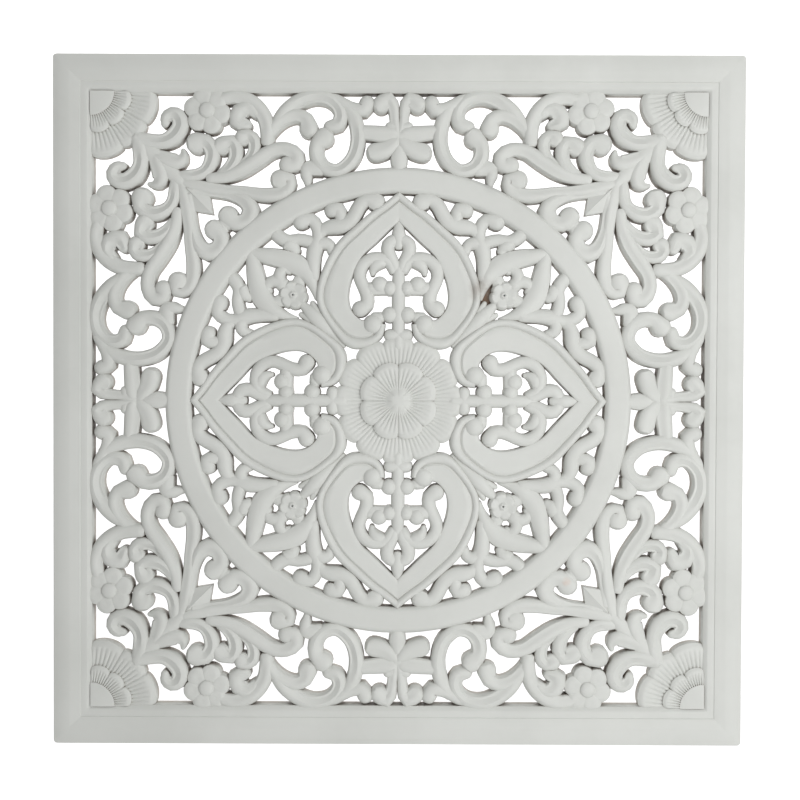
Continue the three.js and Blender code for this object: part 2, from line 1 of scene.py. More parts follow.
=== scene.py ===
"""Dresses the carved wall panel: a square openwork board, routed, carved and painted white.

The panel is drawn flat in millimetres, x to the right, y up and z out of the board, with its
middle at x = y = 0 and its back at z = 0. stand_up() turns it to the frame's own place, in metres.
Only one eighth of the scrollwork is drawn, between the upright axis and the diagonal to the
upper right, and mirrored() repeats it at the diagonal and at both axes.
"""
import math
from typing import NamedTuple

import bpy
import numpy as np
from bpy.props import FloatProperty, FloatVectorProperty, PointerProperty
from mathutils import Matrix, Vector


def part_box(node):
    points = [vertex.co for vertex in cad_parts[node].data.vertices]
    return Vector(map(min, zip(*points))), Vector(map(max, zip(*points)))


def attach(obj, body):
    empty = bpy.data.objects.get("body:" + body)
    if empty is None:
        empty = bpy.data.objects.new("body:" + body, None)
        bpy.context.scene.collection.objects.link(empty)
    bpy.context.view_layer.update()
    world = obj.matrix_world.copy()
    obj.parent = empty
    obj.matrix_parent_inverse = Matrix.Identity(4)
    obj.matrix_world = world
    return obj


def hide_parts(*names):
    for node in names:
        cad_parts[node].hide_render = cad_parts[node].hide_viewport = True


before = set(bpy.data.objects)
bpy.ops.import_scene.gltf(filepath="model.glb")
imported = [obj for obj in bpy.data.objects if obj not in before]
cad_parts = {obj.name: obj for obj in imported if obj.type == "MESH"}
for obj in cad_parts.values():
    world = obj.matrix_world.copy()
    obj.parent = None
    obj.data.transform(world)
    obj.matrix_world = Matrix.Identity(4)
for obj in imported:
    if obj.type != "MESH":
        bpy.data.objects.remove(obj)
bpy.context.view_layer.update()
PANEL_LOW, PANEL_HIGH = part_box("carved_panel")

bl_info = {
    "name": "Carved wall panel",
    "version": (1, 0, 0),
    "blender": (4, 5, 0),
    "location": "3D View > Sidebar > Wall panel",
    "description": "Builds a painted openwork wall panel with a ring, hearts, scrolls and flowers",
    "category": "Object",
}

MM = 0.001
PIECE_NAME = "carved_panel_fine"
HALF = (PANEL_HIGH[0] - PANEL_LOW[0]) / 2 / MM
BOARD = (PANEL_HIGH[1] - PANEL_LOW[1]) / MM
MIDDLE_HEIGHT = (PANEL_LOW[2] + PANEL_HIGH[2]) / 2
BACK = PANEL_HIGH[1]

# The scrollwork below is drawn for this opening and ring. seat() moves its points to the real ones.
DRAWN_OPENING = 265.1
DRAWN_RING_OUTER = 201.8
DRAWN_RING_INNER = 179.0

# How much the thick paint adds to a stroke's half width, in millimetres
STROKE_SPREAD = 0.8

# Strokes are splines through a few knots, (x, y, half width), in millimetres.
# These lie between the ring and the frame.
OUTER_STROKES = {
    "palmette_lobe": [(0, 225, 1.5), (0, 217.5, 4.5), (0, 209.5, 7), (0, 203.5, 6), (0, 199, 5)],
    "palmette_lower": [(0, 227, 3), (6, 221, 6), (13, 216.6, 7.2), (20.2, 214.9, 7.7)],
    "palmette_middle": [
        (0, 229, 3), (6, 230.3, 5.8), (15, 230.4, 6.9), (24, 231.4, 6.2), (31, 232, 5.8),
    ],
    "palmette_arm": [
        (1, 227, 3.6), (3.4, 236, 4), (4.2, 244, 3.6), (4.9, 252, 4.4), (9, 260.5, 6.3),
        (15.5, 256, 7.3),
    ],
    "palmette_web": [(4, 236.5, 3.6), (8, 237.2, 3.4)],
    "side_hook": [
        (62, 263.5, 3), (54, 260, 4.4), (47, 255.5, 5), (39, 252, 5.3), (31, 251.5, 6),
        (27.8, 257, 6.2),
    ],
    "big_curl": [
        (106.5, 239, 4.5), (98.7, 248.8, 6), (87.3, 257.9, 6.2), (74, 262.6, 6), (61, 260.5, 5.5),
        (52.5, 253, 5.3), (50.3, 245, 5.9), (53.2, 238.8, 5.9), (60, 236.8, 4.7),
    ],
    "loop": [
        (47, 257, 4.5), (40, 247, 5.6), (36, 234, 6), (36, 221, 5.9), (41, 208, 5.8),
        (53, 198.8, 5.6), (65, 202, 5.8), (71, 211.5, 6.1), (70.8, 221, 6.2), (65, 227.3, 8.3),
    ],
    "loop_tail": [(66, 200, 5.5), (76, 201, 6.5), (80, 199, 6), (79, 190, 3.2), (78.5, 186, 2)],
    "inner_curl": [
        (113, 228, 4), (107, 237, 5.2), (98, 244, 5.6), (88, 246.3, 5.5), (80.5, 243, 6),
        (78.2, 235.3, 7.8),
    ],
    "long_scroll": [
        (165, 191.5, 4), (150, 193.5, 5), (136, 199, 6), (122, 208, 6.3), (109, 216, 5.7),
        (97, 217, 5.8), (89, 211.5, 6.8), (90, 204.5, 7), (96.5, 203.8, 6.8),
    ],
    "low_scroll": [
        (194, 191.5, 1.5), (183, 187, 4.2), (168, 184, 5), (150, 181.5, 4.5), (135, 180.5, 4.5),
        (118, 177.8, 5.7), (104, 178.5, 6), (95.5, 184, 5.5), (94.5, 192, 5), (102.3, 191, 8.5),
    ],
    "arch_stem": [
        (114, 222, 5), (113.8, 232, 5.8), (115.5, 242, 6), (121, 251, 6.5), (130, 258.5, 6.5),
        (142, 262, 6), (153, 260, 5),
    ],
    "arch_curl": [(122, 247, 4), (129, 252, 5.5), (137, 249.5, 7.5), (138.6, 241.2, 8.2), (132, 238, 4.2)],
    "first_frond": [
        (137, 203, 3.5), (130, 208, 4.2), (125.5, 216, 4.7), (125.5, 224, 5.5), (130, 228.5, 5.5),
        (134.5, 227, 7),
    ],
    "second_frond": [
        (155, 195, 3.5), (148, 200, 4.5), (142.5, 207, 5.5), (141, 216, 6), (145, 223, 6.2),
        (152.5, 220, 7.8),
    ],
    "third_frond": [
        (192, 194.5, 2.5), (184, 194, 4.5), (174, 195, 5), (167.5, 198.5, 5), (162.5, 206, 6),
        (161.5, 215, 6.3), (167, 223, 6.7), (174.5, 222.3, 9),
    ],
    "corner_scroll": [
        (228, 226, 6), (215, 223.5, 6.3), (203, 223.5, 6.3), (193.5, 229, 7.3), (188.8, 237.5, 7),
        (191, 245, 6.5), (196.5, 247, 5.8), (201.3, 243.3, 4.9), (202.3, 239, 3),
    ],
    "corner_leaf": [
        (220, 218.5, 2), (212, 213, 4.2), (203, 209, 6), (195, 206.3, 6.8), (189.3, 207, 5.8),
        (186.3, 211.5, 3.3), (186.8, 215.8, 1.3),
    ],
    "corner_spine": [
        (233, 233, 3), (224, 224, 6.5), (212, 212, 7), (200, 200, 6.5), (190, 190, 4.5), (183, 183, 2.5),
    ],
    "ring_hook": [
        (178, 181, 4), (160, 179.5, 3.5), (145, 177, 4), (133, 172, 6), (128.1, 165, 7.3),
        (131.7, 155.7, 7.2), (141, 153.7, 6.9), (147.6, 159.5, 8.3),
    ],
    "ring_hook_web": [(146, 152, 4.5), (153, 153, 3.8)],
}

# Strokes inside the ring, written the same way
INNER_STROKES = {
    "crown_scroll": [
        (69.5, 142, 4), (65, 148, 4.8), (57, 150.6, 6.3), (49, 151.3, 6.4), (41.5, 155.7, 6.2),
        (37.3, 162.3, 5.8), (33, 170, 5.8), (27, 174, 5.8), (19.8, 171.9, 7.6),
    ],
    "crown_hook": [(50, 154, 4.5), (50.3, 160, 5.1), (52.3, 165.7, 6), (57.8, 164.8, 6.2)],
    "side_stem": [
        (73.5, 105, 5), (73.8, 121, 5.7), (72.8, 131, 6.2), (69.6, 142, 4.8), (70.8, 150.5, 4.9),
        (76, 156.8, 5.3), (84.5, 155.2, 6.9),
    ],
    "stem_hook": [(72, 128, 5), (69.5, 135, 5.3), (64, 136.5, 5), (59.5, 134, 4.3), (58, 129.5, 3.5)],
    "stem_branch": [
        (71, 134, 4.5), (78, 137.8, 4.8), (87, 139.5, 4.6), (95, 138, 5), (101, 140, 5.3),
        (106, 144, 5.3),
    ],
    "branch_hook": [(97, 136, 5.5), (91.5, 133, 5.3), (89.5, 130, 4)],
    "ogive": [
        (70.8, 88, 1.2), (72, 94, 2.6), (74.8, 102.5, 5), (79.8, 110.5, 7.2), (87.7, 117.4, 8.7),
        (97, 121.4, 8.4), (107, 123.8, 7.4), (117, 125.5, 6.3), (126, 127.5, 5), (133, 131, 4),
    ],
    "flower_curl": [(99.8, 98.8, 5.2), (103.3, 105, 5), (102.5, 111, 4.6), (98, 114, 4), (95, 112.7, 3.2)],
    "flower_web": [(88, 98, 6), (85, 106, 4.5)],
    "flower_stalk": [
        (88, 88, 2.2), (82, 82, 3), (76, 76, 5.6), (70, 70, 6.4), (62, 62, 4.4), (55, 55, 2.5),
        (48, 48, 1.5),
    ],
    "calyx_leaf": [(66, 64, 3.5), (69, 71.5, 4.2), (71.5, 78, 3.6), (74.5, 84.5, 1.5)],
    "bud": [(0, 132.5, 3.2), (0, 137, 4.2), (0, 143, 5.4), (0, 150, 4), (0, 156, 1.5)],
    "bud_curl": [
        (1.5, 112, 3.5), (5, 121, 4.5), (9, 128.5, 5.2), (8.6, 135.5, 5.4), (4, 139.5, 4.5),
    ],
    "lily_scroll": [
        (4, 112, 3.5), (9, 121, 4.5), (18, 123.8, 4.8), (27, 121.5, 4.8), (33, 114.5, 5),
        (33.8, 107, 4.8), (30.5, 99, 4.8), (27.2, 91, 5.2), (27.5, 83.5, 5.5), (33, 79.5, 6.7),
    ],
    "lily_drop": [(12, 121, 4.2), (18.8, 118.5, 5), (22, 113.5, 3.2), (22.5, 110, 1.5)],
    "lily_arm": [(26, 97, 5), (8, 97.5, 5)],
    "lily_stem": [(0, 120, 2.5), (0, 110, 4.5), (0, 85, 5.2), (0, 60, 4.7), (0, 48, 4.7)],
    "heart_bridge": [(22, 72, 4), (16, 72, 4.5)],
    "collar": [(0, 57, 4.6), (7.5, 57, 4.6)],
}

# How deep the flute along a stroke's inner bend is, as a share of its round top
FLUTES = {
    "big_curl": 0.4, "loop": 0.4, "inner_curl": 0.3, "long_scroll": 0.3, "low_scroll": 0.25,
    "arch_stem": 0.3, "arch_curl": 0.4, "first_frond": 0.45, "second_frond": 0.45,
    "third_frond": 0.45, "corner_scroll": 0.5, "corner_leaf": 0.3, "ring_hook": 0.35,
    "palmette_arm": 0.3, "palmette_middle": 0.3, "palmette_lower": 0.2,
}

# Strokes whose top stays lower than the crest, as a share of the full rise
CREST_SHARES = {
    "corner_spine": 0.75, "palmette_lobe": 0.85, "palmette_middle": 0.85, "palmette_lower": 0.9,
    "palmette_web": 0.7, "flower_web": 0.6, "ring_hook_web": 0.7, "heart_bridge": 0.7,
    "lily_arm": 0.75, "collar": 0.8, "loop_tail": 0.8, "calyx_leaf": 0.8, "flower_curl": 0.85,
}

# How a stroke is stepped: points over a plain and a fluted top, rows in its start and its end, the
# least rows between two knots, and the greatest gap between two rows in millimetres
PLAIN_STEPS = 7
FLUTED_STEPS = 10
START_STEPS = 2
END_STEPS = 4
LEAST_ROWS = 2
ROW_GAP = 5.0

# Two knots of a spline count as at least this far apart
LEAST_GAP = 1e-4

# How far a stroke's two ends reach past its knots, and how wide their last row stays, as shares of
# the half width there
START_REACH = 0.5
END_REACH = 1.0
TIP_WIDTH = 0.04

# A round top: the power that makes its sides fuller, and its greatest rise for its half width
DOME_POWER = 0.8
DOME_RISE = 0.95

# A flute: its place and width across the stroke, and the shares of the stroke's length over which
# it comes in and goes out
FLUTE_PLACE = 0.42
FLUTE_WIDTH = 0.34
FLUTE_START = (0.08, 0.3)
FLUTE_STOP = (0.72, 0.9)

# Round knobs inside the ring, (x, y, radius, height)
KNOBS = [(7.5, 97.5, 6.7, 17.4), (16.5, 100.5, 7.5, 17.4), (7.5, 74.6, 7.3, 17.4), (22, 66, 9, 18.6)]
KNOB_DOME_STEPS = 5
KNOB_SIDES = 20

# A boss's dome stops this far short of its top, in radians, and a dimple in it has this width as a
# share of the radius
DOME_END = 0.06
DIMPLE_WIDTH = 0.3

# A heart's right half, from its tip at the ring round to its lobe
HEART_OUTER = [
    (0, 181.5), (13, 171), (24.4, 163.5), (39.8, 150.1), (54.5, 136.3), (65.5, 115.5), (70.8, 99),
    (71.2, 86), (66.5, 73.5), (57, 60), (49, 50), (40, 44.8), (30, 45.3), (20.5, 49), (13, 56),
    (11, 66.5),
]
HEART_GROOVE = [
    (0, 173), (8.7, 166), (19.7, 158), (34.5, 144.7), (49, 130), (59, 112), (64.3, 97),
    (64.4, 86), (60.3, 76), (52, 64), (44, 56.5), (38, 55.5), (31, 54), (25.5, 55.3),
    (20.5, 58.5), (17.5, 66),
]
HEART_INNER = [
    (0, 155), (0.5, 154.5), (8.5, 146.5), (20, 135), (31, 125.5), (39.5, 108), (42.5, 95),
    (42.3, 85), (39.5, 77.5), (35, 72), (31, 70.5), (28, 71), (26, 72), (24, 76),
    (20, 76.5), (16, 76.5),
]

# Points between two neighbouring points of a heart's edge
HEART_STEPS = 4

# A heart's section in two parts, the bead on its outer edge and the band inside the groove: the
# share of the part's width and the height above the back
HEART_BEAD = [
    (0.0, 10.3), (0.04, 13.2), (0.14, 15.3), (0.32, 16.5), (0.52, 16.8), (0.76, 16.2), (0.91, 15.0),
    (1.0, 13.9),
]
HEART_BAND = [
    (0.03, 14.5), (0.11, 15.5), (0.3, 15.2), (0.5, 14.9), (0.72, 14.8), (0.88, 14.6), (0.95, 14.1),
    (1.0, 12.4),
]

# The spearhead on the diagonal: its outline, the points of its ridge, and both their heights
DIAGONAL_LEAF = [(184, 184), (163.5, 176.5), (161, 161), (176.5, 163.5)]
LEAF_RIM_HEIGHTS = (14.0, 12.6, 13.2, 12.6)
LEAF_RIDGE = (184, 172, 161.4)
LEAF_RIDGE_HEIGHTS = (15.5, 16.4, 14.2)

# The one gap that wasn't cut through, and the height of its rough floor
POCKET = [(70, 84), (79, 83), (85, 104), (80, 106), (71, 96)]
POCKET_FLOOR = 7.0

# The frame's section from its outer edge to the opening: the edge and the level that a point is
# measured from, how far outside that edge and above that level it is, and its corner's radius
FRAME_SECTION = [
    ("side", "back", 0.0, 0.0, 3.0), ("side", "top", 0.0, -1.3, 3.0), ("side", "top", -0.4, -0.4, 2.8),
    ("side", "top", -1.3, 0.0, 2.4), ("band", "top", 1.2, 0.0, 0.5), ("band", "top", 0.0, -0.15, 0.5),
    ("band", "top", -1.5, -0.45, 0.6), ("band", "top", -4.0, -0.9, 0.8), ("cove", "top", 2.2, -1.4, 1.0),
    ("cove", "top", 0.4, -1.8, 1.0), ("cove", "lip", -0.1, 0.0, 1.0), ("cove", "lip", -1.1, 0.0, 1.2),
    ("lip", "lip", 0.4, 0.0, 1.5), ("lip", "lip", -0.3, -0.3, 1.5), ("opening", "lip", 0.5, -3.0, 1.6),
    ("opening", "lip", 0.0, -3.6, 1.6), ("opening", "back", 0.0, 0.0, 1.6),
]
CORNER_STEPS = 4

# The ring's section from either edge to its flat top: how far inside the edge, and the height
RING_SECTION = [(0.0, 0.02), (0.0, 13.0), (0.5, 14.2), (2.4, 16.4), (3.4, 16.9), (5.5, 17.1)]
RING_STEPS = 150

# The panel's quarters, as the signs of x and y
QUARTERS = ((1, 1), (-1, 1), (-1, -1), (1, -1))


class Tier(NamedTuple):
    """One tier of petals, in millimetres.

    A span is where something starts and stops, from 0 at the tier's middle to 1 at its rim.
    """

    crown: float  # greatest height of the petals
    rows: tuple  # places of the rows of points, from the rim inwards
    radius: float = 0.0  # left out where the panel's own sizes give it
    petals: int = 0
    first_gap: float = 0.0  # angle of a gap between two petals
    notch: float = 0.0  # how far the rim is drawn in at a gap
    notch_power: float = 0.55
    rim_drop: float = 0.0  # how far the rim bends down
    rim_power: int = 2
    rim_span: tuple = (0.9, 1.0)
    hollow: float = 0.0  # how much lower the tier is towards its middle
    hollow_span: tuple = (0.6, 0.9)
    crease: float = 0.0  # depth of the line between two petals
    crease_power: float = 0.35
    crease_span: tuple = (0.6, 0.9)
    ribs: int = 0  # fine grooves in a full turn
    rib_depth: float = 0.0
    rib_start: tuple = (-1.0, 0.0)  # the ribs reach the middle, unless they start further out
    rib_stop: tuple = (0.8, 0.9)
    boss: float = 0.0  # height of the button in the middle
    boss_span: tuple = (0.14, 0.34)
    dimple: float = 0.0  # depth of the dimple in that button
    dimple_span: tuple = (0.0, 0.12)


# How much of the gap between two ribs is groove
RIB_WIDTH = 0.65

# The rosette's two tiers, and the points around each
ROSETTE_OUTER = Tier(
    crown=15.2, rows=(1.0, 0.985, 0.95, 0.9, 0.82, 0.74, 0.66, 0.6, 0.5, 0.0),
    petals=12, first_gap=math.pi / 12, notch=5.0, rim_drop=2.6, hollow=1.5, crease=0.9,
    ribs=72, rib_depth=0.75, rib_stop=(0.84, 0.92),
)
ROSETTE_INNER = Tier(
    radius=34.4, crown=17.3, rows=(
        1.0, 0.975, 0.93, 0.85, 0.75, 0.62, 0.5, 0.42, 0.36, 0.31, 0.27, 0.22, 0.14, 0.06, 0.0,
    ),
    petals=8, notch=4.2, rim_drop=1.6, rim_span=(0.88, 1.0), hollow=1.5, hollow_span=(0.35, 0.85),
    crease=1.3, crease_span=(0.4, 0.9), boss=2.8,
    ribs=40, rib_depth=0.9, rib_start=(0.3, 0.4), rib_stop=(0.72, 0.88),
)
ROSETTE_OUTER_STEPS = 288
ROSETTE_INNER_STEPS = 240

# The corner fans: a large tier, a smaller one on it, and a plain disc. Their middle lies this far
# behind the corner of the opening.
FAN_SETBACK = 1.0
FAN_STEPS = 91
FAN_ROWS = (1.0, 0.985, 0.95, 0.9, 0.82, 0.74, 0.66, 0.58, 0.0)
FAN_OUTER = Tier(
    crown=15.4, rows=FAN_ROWS, petals=12, notch=3.4, rim_drop=2.4, rim_span=(0.92, 1.0),
    hollow=1.5, crease=1.3, ribs=72, rib_depth=1.05, rib_stop=(0.82, 0.9),
)
FAN_INNER = Tier(
    radius=36.5, crown=17.3, rows=FAN_ROWS, petals=12, notch=3.6, rim_drop=1.6,
    hollow=1.3, crease=1.2, ribs=72, rib_depth=1.05, rib_stop=(0.8, 0.88),
)
FAN_DISC = Tier(
    radius=21.0, crown=17.0, rows=(1.0, 0.95, 0.88, 0.0), rim_drop=0.8, rim_power=1,
    rim_span=(0.85, 1.0),
)

# The round flower inside the ring, and its middle in the drawing
ROUND_FLOWER = Tier(
    radius=13.1, crown=15.9, rows=(1.0, 0.97, 0.9, 0.8, 0.65, 0.5, 0.38, 0.3, 0.22, 0.14, 0.06),
    petals=6, first_gap=math.radians(45), notch=1.5, notch_power=0.6,
    rim_drop=4.6, rim_span=(0.8, 1.0), hollow=1.2, hollow_span=(0.3, 0.75),
    crease=1.0, crease_power=0.4, crease_span=(0.35, 0.8), boss=1.7, boss_span=(0.14, 0.32), dimple=0.7,
)
ROUND_FLOWER_CENTRE = (91.3, 91.3)
ROUND_FLOWER_STEPS = 48

# The flower beside the corner scroll: its middle in the drawing, and six domed petals around a
# button. The first petal's angle is in degrees.
FLOWER_CENTRE = (165.5, 250)
FLOWER_PETALS = 6
FIRST_PETAL = 13
PETAL_REACH = 11.5
PETAL_RADIUS = 9.4
PETAL_WALL = 12.4
PETAL_CREST = 16.3
PETAL_DIMPLE = 1.0
PETAL_DOME_STEPS = 5
PETAL_SIDES = 20
BUTTON_RADIUS = 6.9
BUTTON_WALL = 15.6
BUTTON_CREST = 18.8
BUTTON_DOME_STEPS = 6
BUTTON_SIDES = 24

# A hair between two layers of skins, in millimetres: between their backs, between their tops, and
# from row to row along a stroke's back. The tops start over after a number of layers, and a point
# lower than the limit belongs to the back.
BACK_STEP = 0.01
TOP_STEP = 0.008
BACK_CREEP = 0.006
TOP_LAYERS = 14
BACK_LIMIT = 0.5

# Two faces that meet at a greater angle than this have a sharp edge between them
SHARP_ANGLE = math.radians(38)


class PanelSizes(bpy.types.PropertyGroup):
    """Heights and widths of the carving, in metres."""

    band_width: FloatProperty(
        name="Frame band", description="Width of the frame's flat outer band",
        default=0.0145, subtype="DISTANCE", unit="LENGTH",
    )
    cove_width: FloatProperty(
        name="Cove", description="Width of the slope between the band and the inner lip",
        default=0.0087, subtype="DISTANCE", unit="LENGTH",
    )
    lip_width: FloatProperty(
        name="Lip", description="Width of the flat inner lip",
        default=0.0058, subtype="DISTANCE", unit="LENGTH",
    )
    lip_bevel: FloatProperty(
        name="Lip bevel", description="Width of the bevel at the opening",
        default=0.0035, subtype="DISTANCE", unit="LENGTH",
    )
    lip_height: FloatProperty(
        name="Lip height", description="Height of the lip above the back",
        default=0.0175, subtype="DISTANCE", unit="LENGTH",
    )
    ring_outer: FloatProperty(
        name="Ring outer radius", description="Outer radius of the ring",
        default=0.2036, subtype="DISTANCE", unit="LENGTH",
    )
    ring_inner: FloatProperty(
        name="Ring inner radius", description="Inner radius of the ring",
        default=0.1806, subtype="DISTANCE", unit="LENGTH",
    )
    wall: FloatProperty(
        name="Stroke wall", description="Height at which the upright walls turn into the round top",
        default=0.0105, subtype="DISTANCE", unit="LENGTH",
    )
    crest: FloatProperty(
        name="Stroke crest", description="Greatest height of the scrolls above the back",
        default=0.017, subtype="DISTANCE", unit="LENGTH",
    )
    rosette_radius: FloatProperty(
        name="Rosette radius", description="Radius of the central rosette",
        default=0.0570, subtype="DISTANCE", unit="LENGTH",
    )
    fan_radius: FloatProperty(
        name="Corner fan radius", description="Radius of the quarter rosettes in the corners",
        default=0.0583, subtype="DISTANCE", unit="LENGTH",
    )


class PanelColours(bpy.types.PropertyGroup):
    """Colours of the paint and of the raw board, and of the painted shade on the walls and in the
    crevices.
    """

    paint: FloatVectorProperty(
        name="Paint", description="White-grey paint on the carved face",
        default=(0.64, 0.65, 0.62, 1.0), size=4, subtype="COLOR", min=0.0, max=1.0,
    )
    worn_paint: FloatVectorProperty(
        name="Thin paint", description="Slightly darker patches where the paint is thin",
        default=(0.56, 0.57, 0.54, 1.0), size=4, subtype="COLOR", min=0.0, max=1.0,
    )
    # Thin brownish paint with painted shade, darkest low on the walls of the openings
    wall_thin_paint_and_shade: FloatVectorProperty(
        name="Cut walls", description="Thin brownish paint low on the walls of the openings",
        default=(0.40, 0.365, 0.32, 1.0), size=4, subtype="COLOR", min=0.0, max=1.0,
    )
    # Painted shade, brown, in the narrowest gaps, together with the dirt there
    crevice: FloatVectorProperty(
        name="Crevices", description="Brown shade in the narrowest gaps",
        default=(0.17, 0.125, 0.09, 1.0), size=4, subtype="COLOR", min=0.0, max=1.0,
    )
    raw_board: FloatVectorProperty(
        name="Raw board", description="Brown wood fibre that shows in deep cuts",
        default=(0.22, 0.14, 0.09, 1.0), size=4, subtype="COLOR", min=0.0, max=1.0,
    )
    backdrop: FloatVectorProperty(
        name="Backdrop", description="Pale wall and floor of the stage",
        default=(0.86, 0.86, 0.86, 1.0), size=4, subtype="COLOR", min=0.0, max=1.0,
    )


def sizes_mm():
    """The panel's sizes as a dictionary, in millimetres."""
    settings = bpy.context.scene.panel_sizes
    sizes = {name: getattr(settings, name) / MM for name in settings.__annotations__}
    rail = sizes["band_width"] + sizes["cove_width"] + sizes["lip_width"] + sizes["lip_bevel"]
    sizes["opening"] = HALF - rail
    return sizes


def seat(x, y, sizes):
    """Fits a point of the drawing to the panel's own ring and frame: its place and the stretch there."""
    reach = math.hypot(x, y)
    if reach < DRAWN_RING_INNER:
        scale = sizes["ring_inner"] / DRAWN_RING_INNER
        return x * scale, y * scale, scale
    across = max(abs(x), abs(y)) / reach
    drawn_gap = DRAWN_OPENING / across - DRAWN_RING_OUTER
    outwards = (sizes["opening"] / across - sizes["ring_outer"]) / drawn_gap
    scale = (sizes["ring_outer"] + (reach - DRAWN_RING_OUTER) * outwards) / reach
    return x * scale, y * scale, math.sqrt(outwards * scale)


class Carving:
    """Collects closed skins, drawn flat in millimetres, for one joined mesh."""

    def __init__(self):
        self.points = []
        self.faces = []
        self.raw = []
        self.count = 0
        self.kind = -1

    def add(self, points, faces, raw=None, fresh=True, turned=False):
        """Adds one skin: points (n, 3), faces as index tuples, and how raw each point's board is.

        A fresh skin starts a new kind, and a turned one is a mirror image. Skins of different
        kinds, and a kind's mirror images, are set a hair apart in height, so that where two of
        them overlap no two backs or tops lie in one plane.
        """
        self.kind += fresh
        layer = 2 * self.kind + turned
        points = np.array(points, float)
        tops = points[:, 2] - TOP_STEP * (layer % TOP_LAYERS)
        backs = points[:, 2] + BACK_STEP * layer
        points[:, 2] = np.where(points[:, 2] < BACK_LIMIT, backs, tops)
        self.points.append(points)
        self.faces.extend(tuple(i + self.count for i in face) for face in faces)
        self.raw.append(np.zeros(len(points)) if raw is None else np.asarray(raw, float))
        self.count += len(points)


carving = Carving()


def spans(points):
    """Spans of the centripetal Catmull-Rom spline: their two ends, slope, bend and twist."""
    padded = np.vstack([2 * points[0] - points[1], points, 2 * points[-1] - points[-2]])
    for a, b, c, d in zip(padded, padded[1:], padded[2:], padded[3:]):
        gaps = [np.sum((q - p) ** 2) ** 0.25 for p, q in ((a, b), (b, c), (c, d))]
        before, span, after = np.maximum(gaps, LEAST_GAP)
        slope = ((b - a) / before - (c - a) / (before + span) + (c - b) / span) * span
        stop = ((c - b) / span - (d - b) / (span + after) + (d - c) / after) * span
        yield b, c, slope, -3 * b + 3 * c - 2 * slope - stop, 2 * b - 2 * c + slope + stop


def centripetal(points):
    """Rows along the spline through a stroke's knots, with its direction in the plane."""
    spots, headings = [], []
    for start, stop, slope, bend, twist in spans(np.array(points, float)):
        count = max(LEAST_ROWS, math.ceil(np.linalg.norm((stop - start)[:2]) / ROW_GAP))
        for k in range(count):
            t = k / count
            spots.append(start + slope * t + bend * t ** 2 + twist * t ** 3)
            headings.append(slope + 2 * bend * t + 3 * twist * t ** 2)
    spots.append(start + slope + bend + twist)
    headings.append(slope + 2 * bend + 3 * twist)
    headings = np.array(headings)
    return np.array(spots), np.arctan2(headings[:, 1], headings[:, 0])


def grid_faces(rows, columns, rows_close=False, columns_close=False):
    """Faces between the rows of a grid of points, whose rows or columns may close to a loop."""
    faces = []
    for i in range(rows if rows_close else rows - 1):
        here, there = i * columns, (i + 1) % rows * columns
        for k in range(columns if columns_close else columns - 1):
            far = (k + 1) % columns
            faces.append((here + k, there + k, there + far, here + far))
    return faces


def flipped(faces):
    """The same faces seen from their other side, each starting at the same point."""
    return [(a, d, c, b) for a, b, c, d in faces]


def loft(sections):
    """A closed skin through closed sections, each with the same number of points."""
    rows, around = len(sections), len(sections[0])
    faces = flipped(grid_faces(rows, around, columns_close=True))
    faces.append(tuple(range(around))[::-1])
    faces.append(tuple((rows - 1) * around + k for k in range(around)))
    return np.vstack(sections), faces


def turned_right(points, faces):
    """Turns the faces of a closed skin outwards."""
    volume = 0.0
    for face in faces:
        for i in range(1, len(face) - 1):
            volume += np.dot(points[face[0]], np.cross(points[face[i]], points[face[i + 1]]))
    return faces if volume > 0 else [face[::-1] for face in faces]


def mirrored(points, faces):
    """Adds a skin of one eighth of the panel to the carving, eight times.

    A skin that lies across a mirror line falls on its own image there, which is left out.
    """
    faces = turned_right(points, faces)
    places = set()
    for swap in (False, True):
        for sign_x, sign_y in QUARTERS:
            copy = points[:, [1, 0, 2]].copy() if swap else points.copy()
            copy[:, 0] *= sign_x
            copy[:, 1] *= sign_y
            place = tuple(np.round(copy[:, :2].mean(axis=0), 2) + 0.0)
            if place in places:
                continue
            places.add(place)
            flips = (sign_x * sign_y < 0) != swap
            turned_faces = [face[::-1] for face in faces] if flips else faces
            carving.add(copy, turned_faces, fresh=len(places) == 1, turned=flips)


def capped(spots, headings):
    """Adds a flattened round start and a round end to the stations of a stroke."""
    for place, reach, steps in ((0, -START_REACH, START_STEPS), (-1, END_REACH, END_STEPS)):
        angles = np.linspace(0, math.pi / 2, steps + 1)[1:]
        x, y, half = spots[place]
        heading = headings[place]
        cap = [(
            x + math.cos(heading) * math.sin(angle) * half * reach,
            y + math.sin(heading) * math.sin(angle) * half * reach,
            half * max(math.cos(angle), TIP_WIDTH),
        ) for angle in angles]
        if place == 0:
            spots = np.vstack([cap[::-1], spots])
            headings = np.concatenate([[heading] * steps, headings])
        else:
            spots = np.vstack([spots, cap])
            headings = np.concatenate([headings, [heading] * steps])
    return spots, headings


def eased(value, start, stop):
    """Rises smoothly from 0 at start to 1 at stop."""
    share = min(1.0, max(0.0, (value - start) / (stop - start)))
    return share * share * (3 - 2 * share)


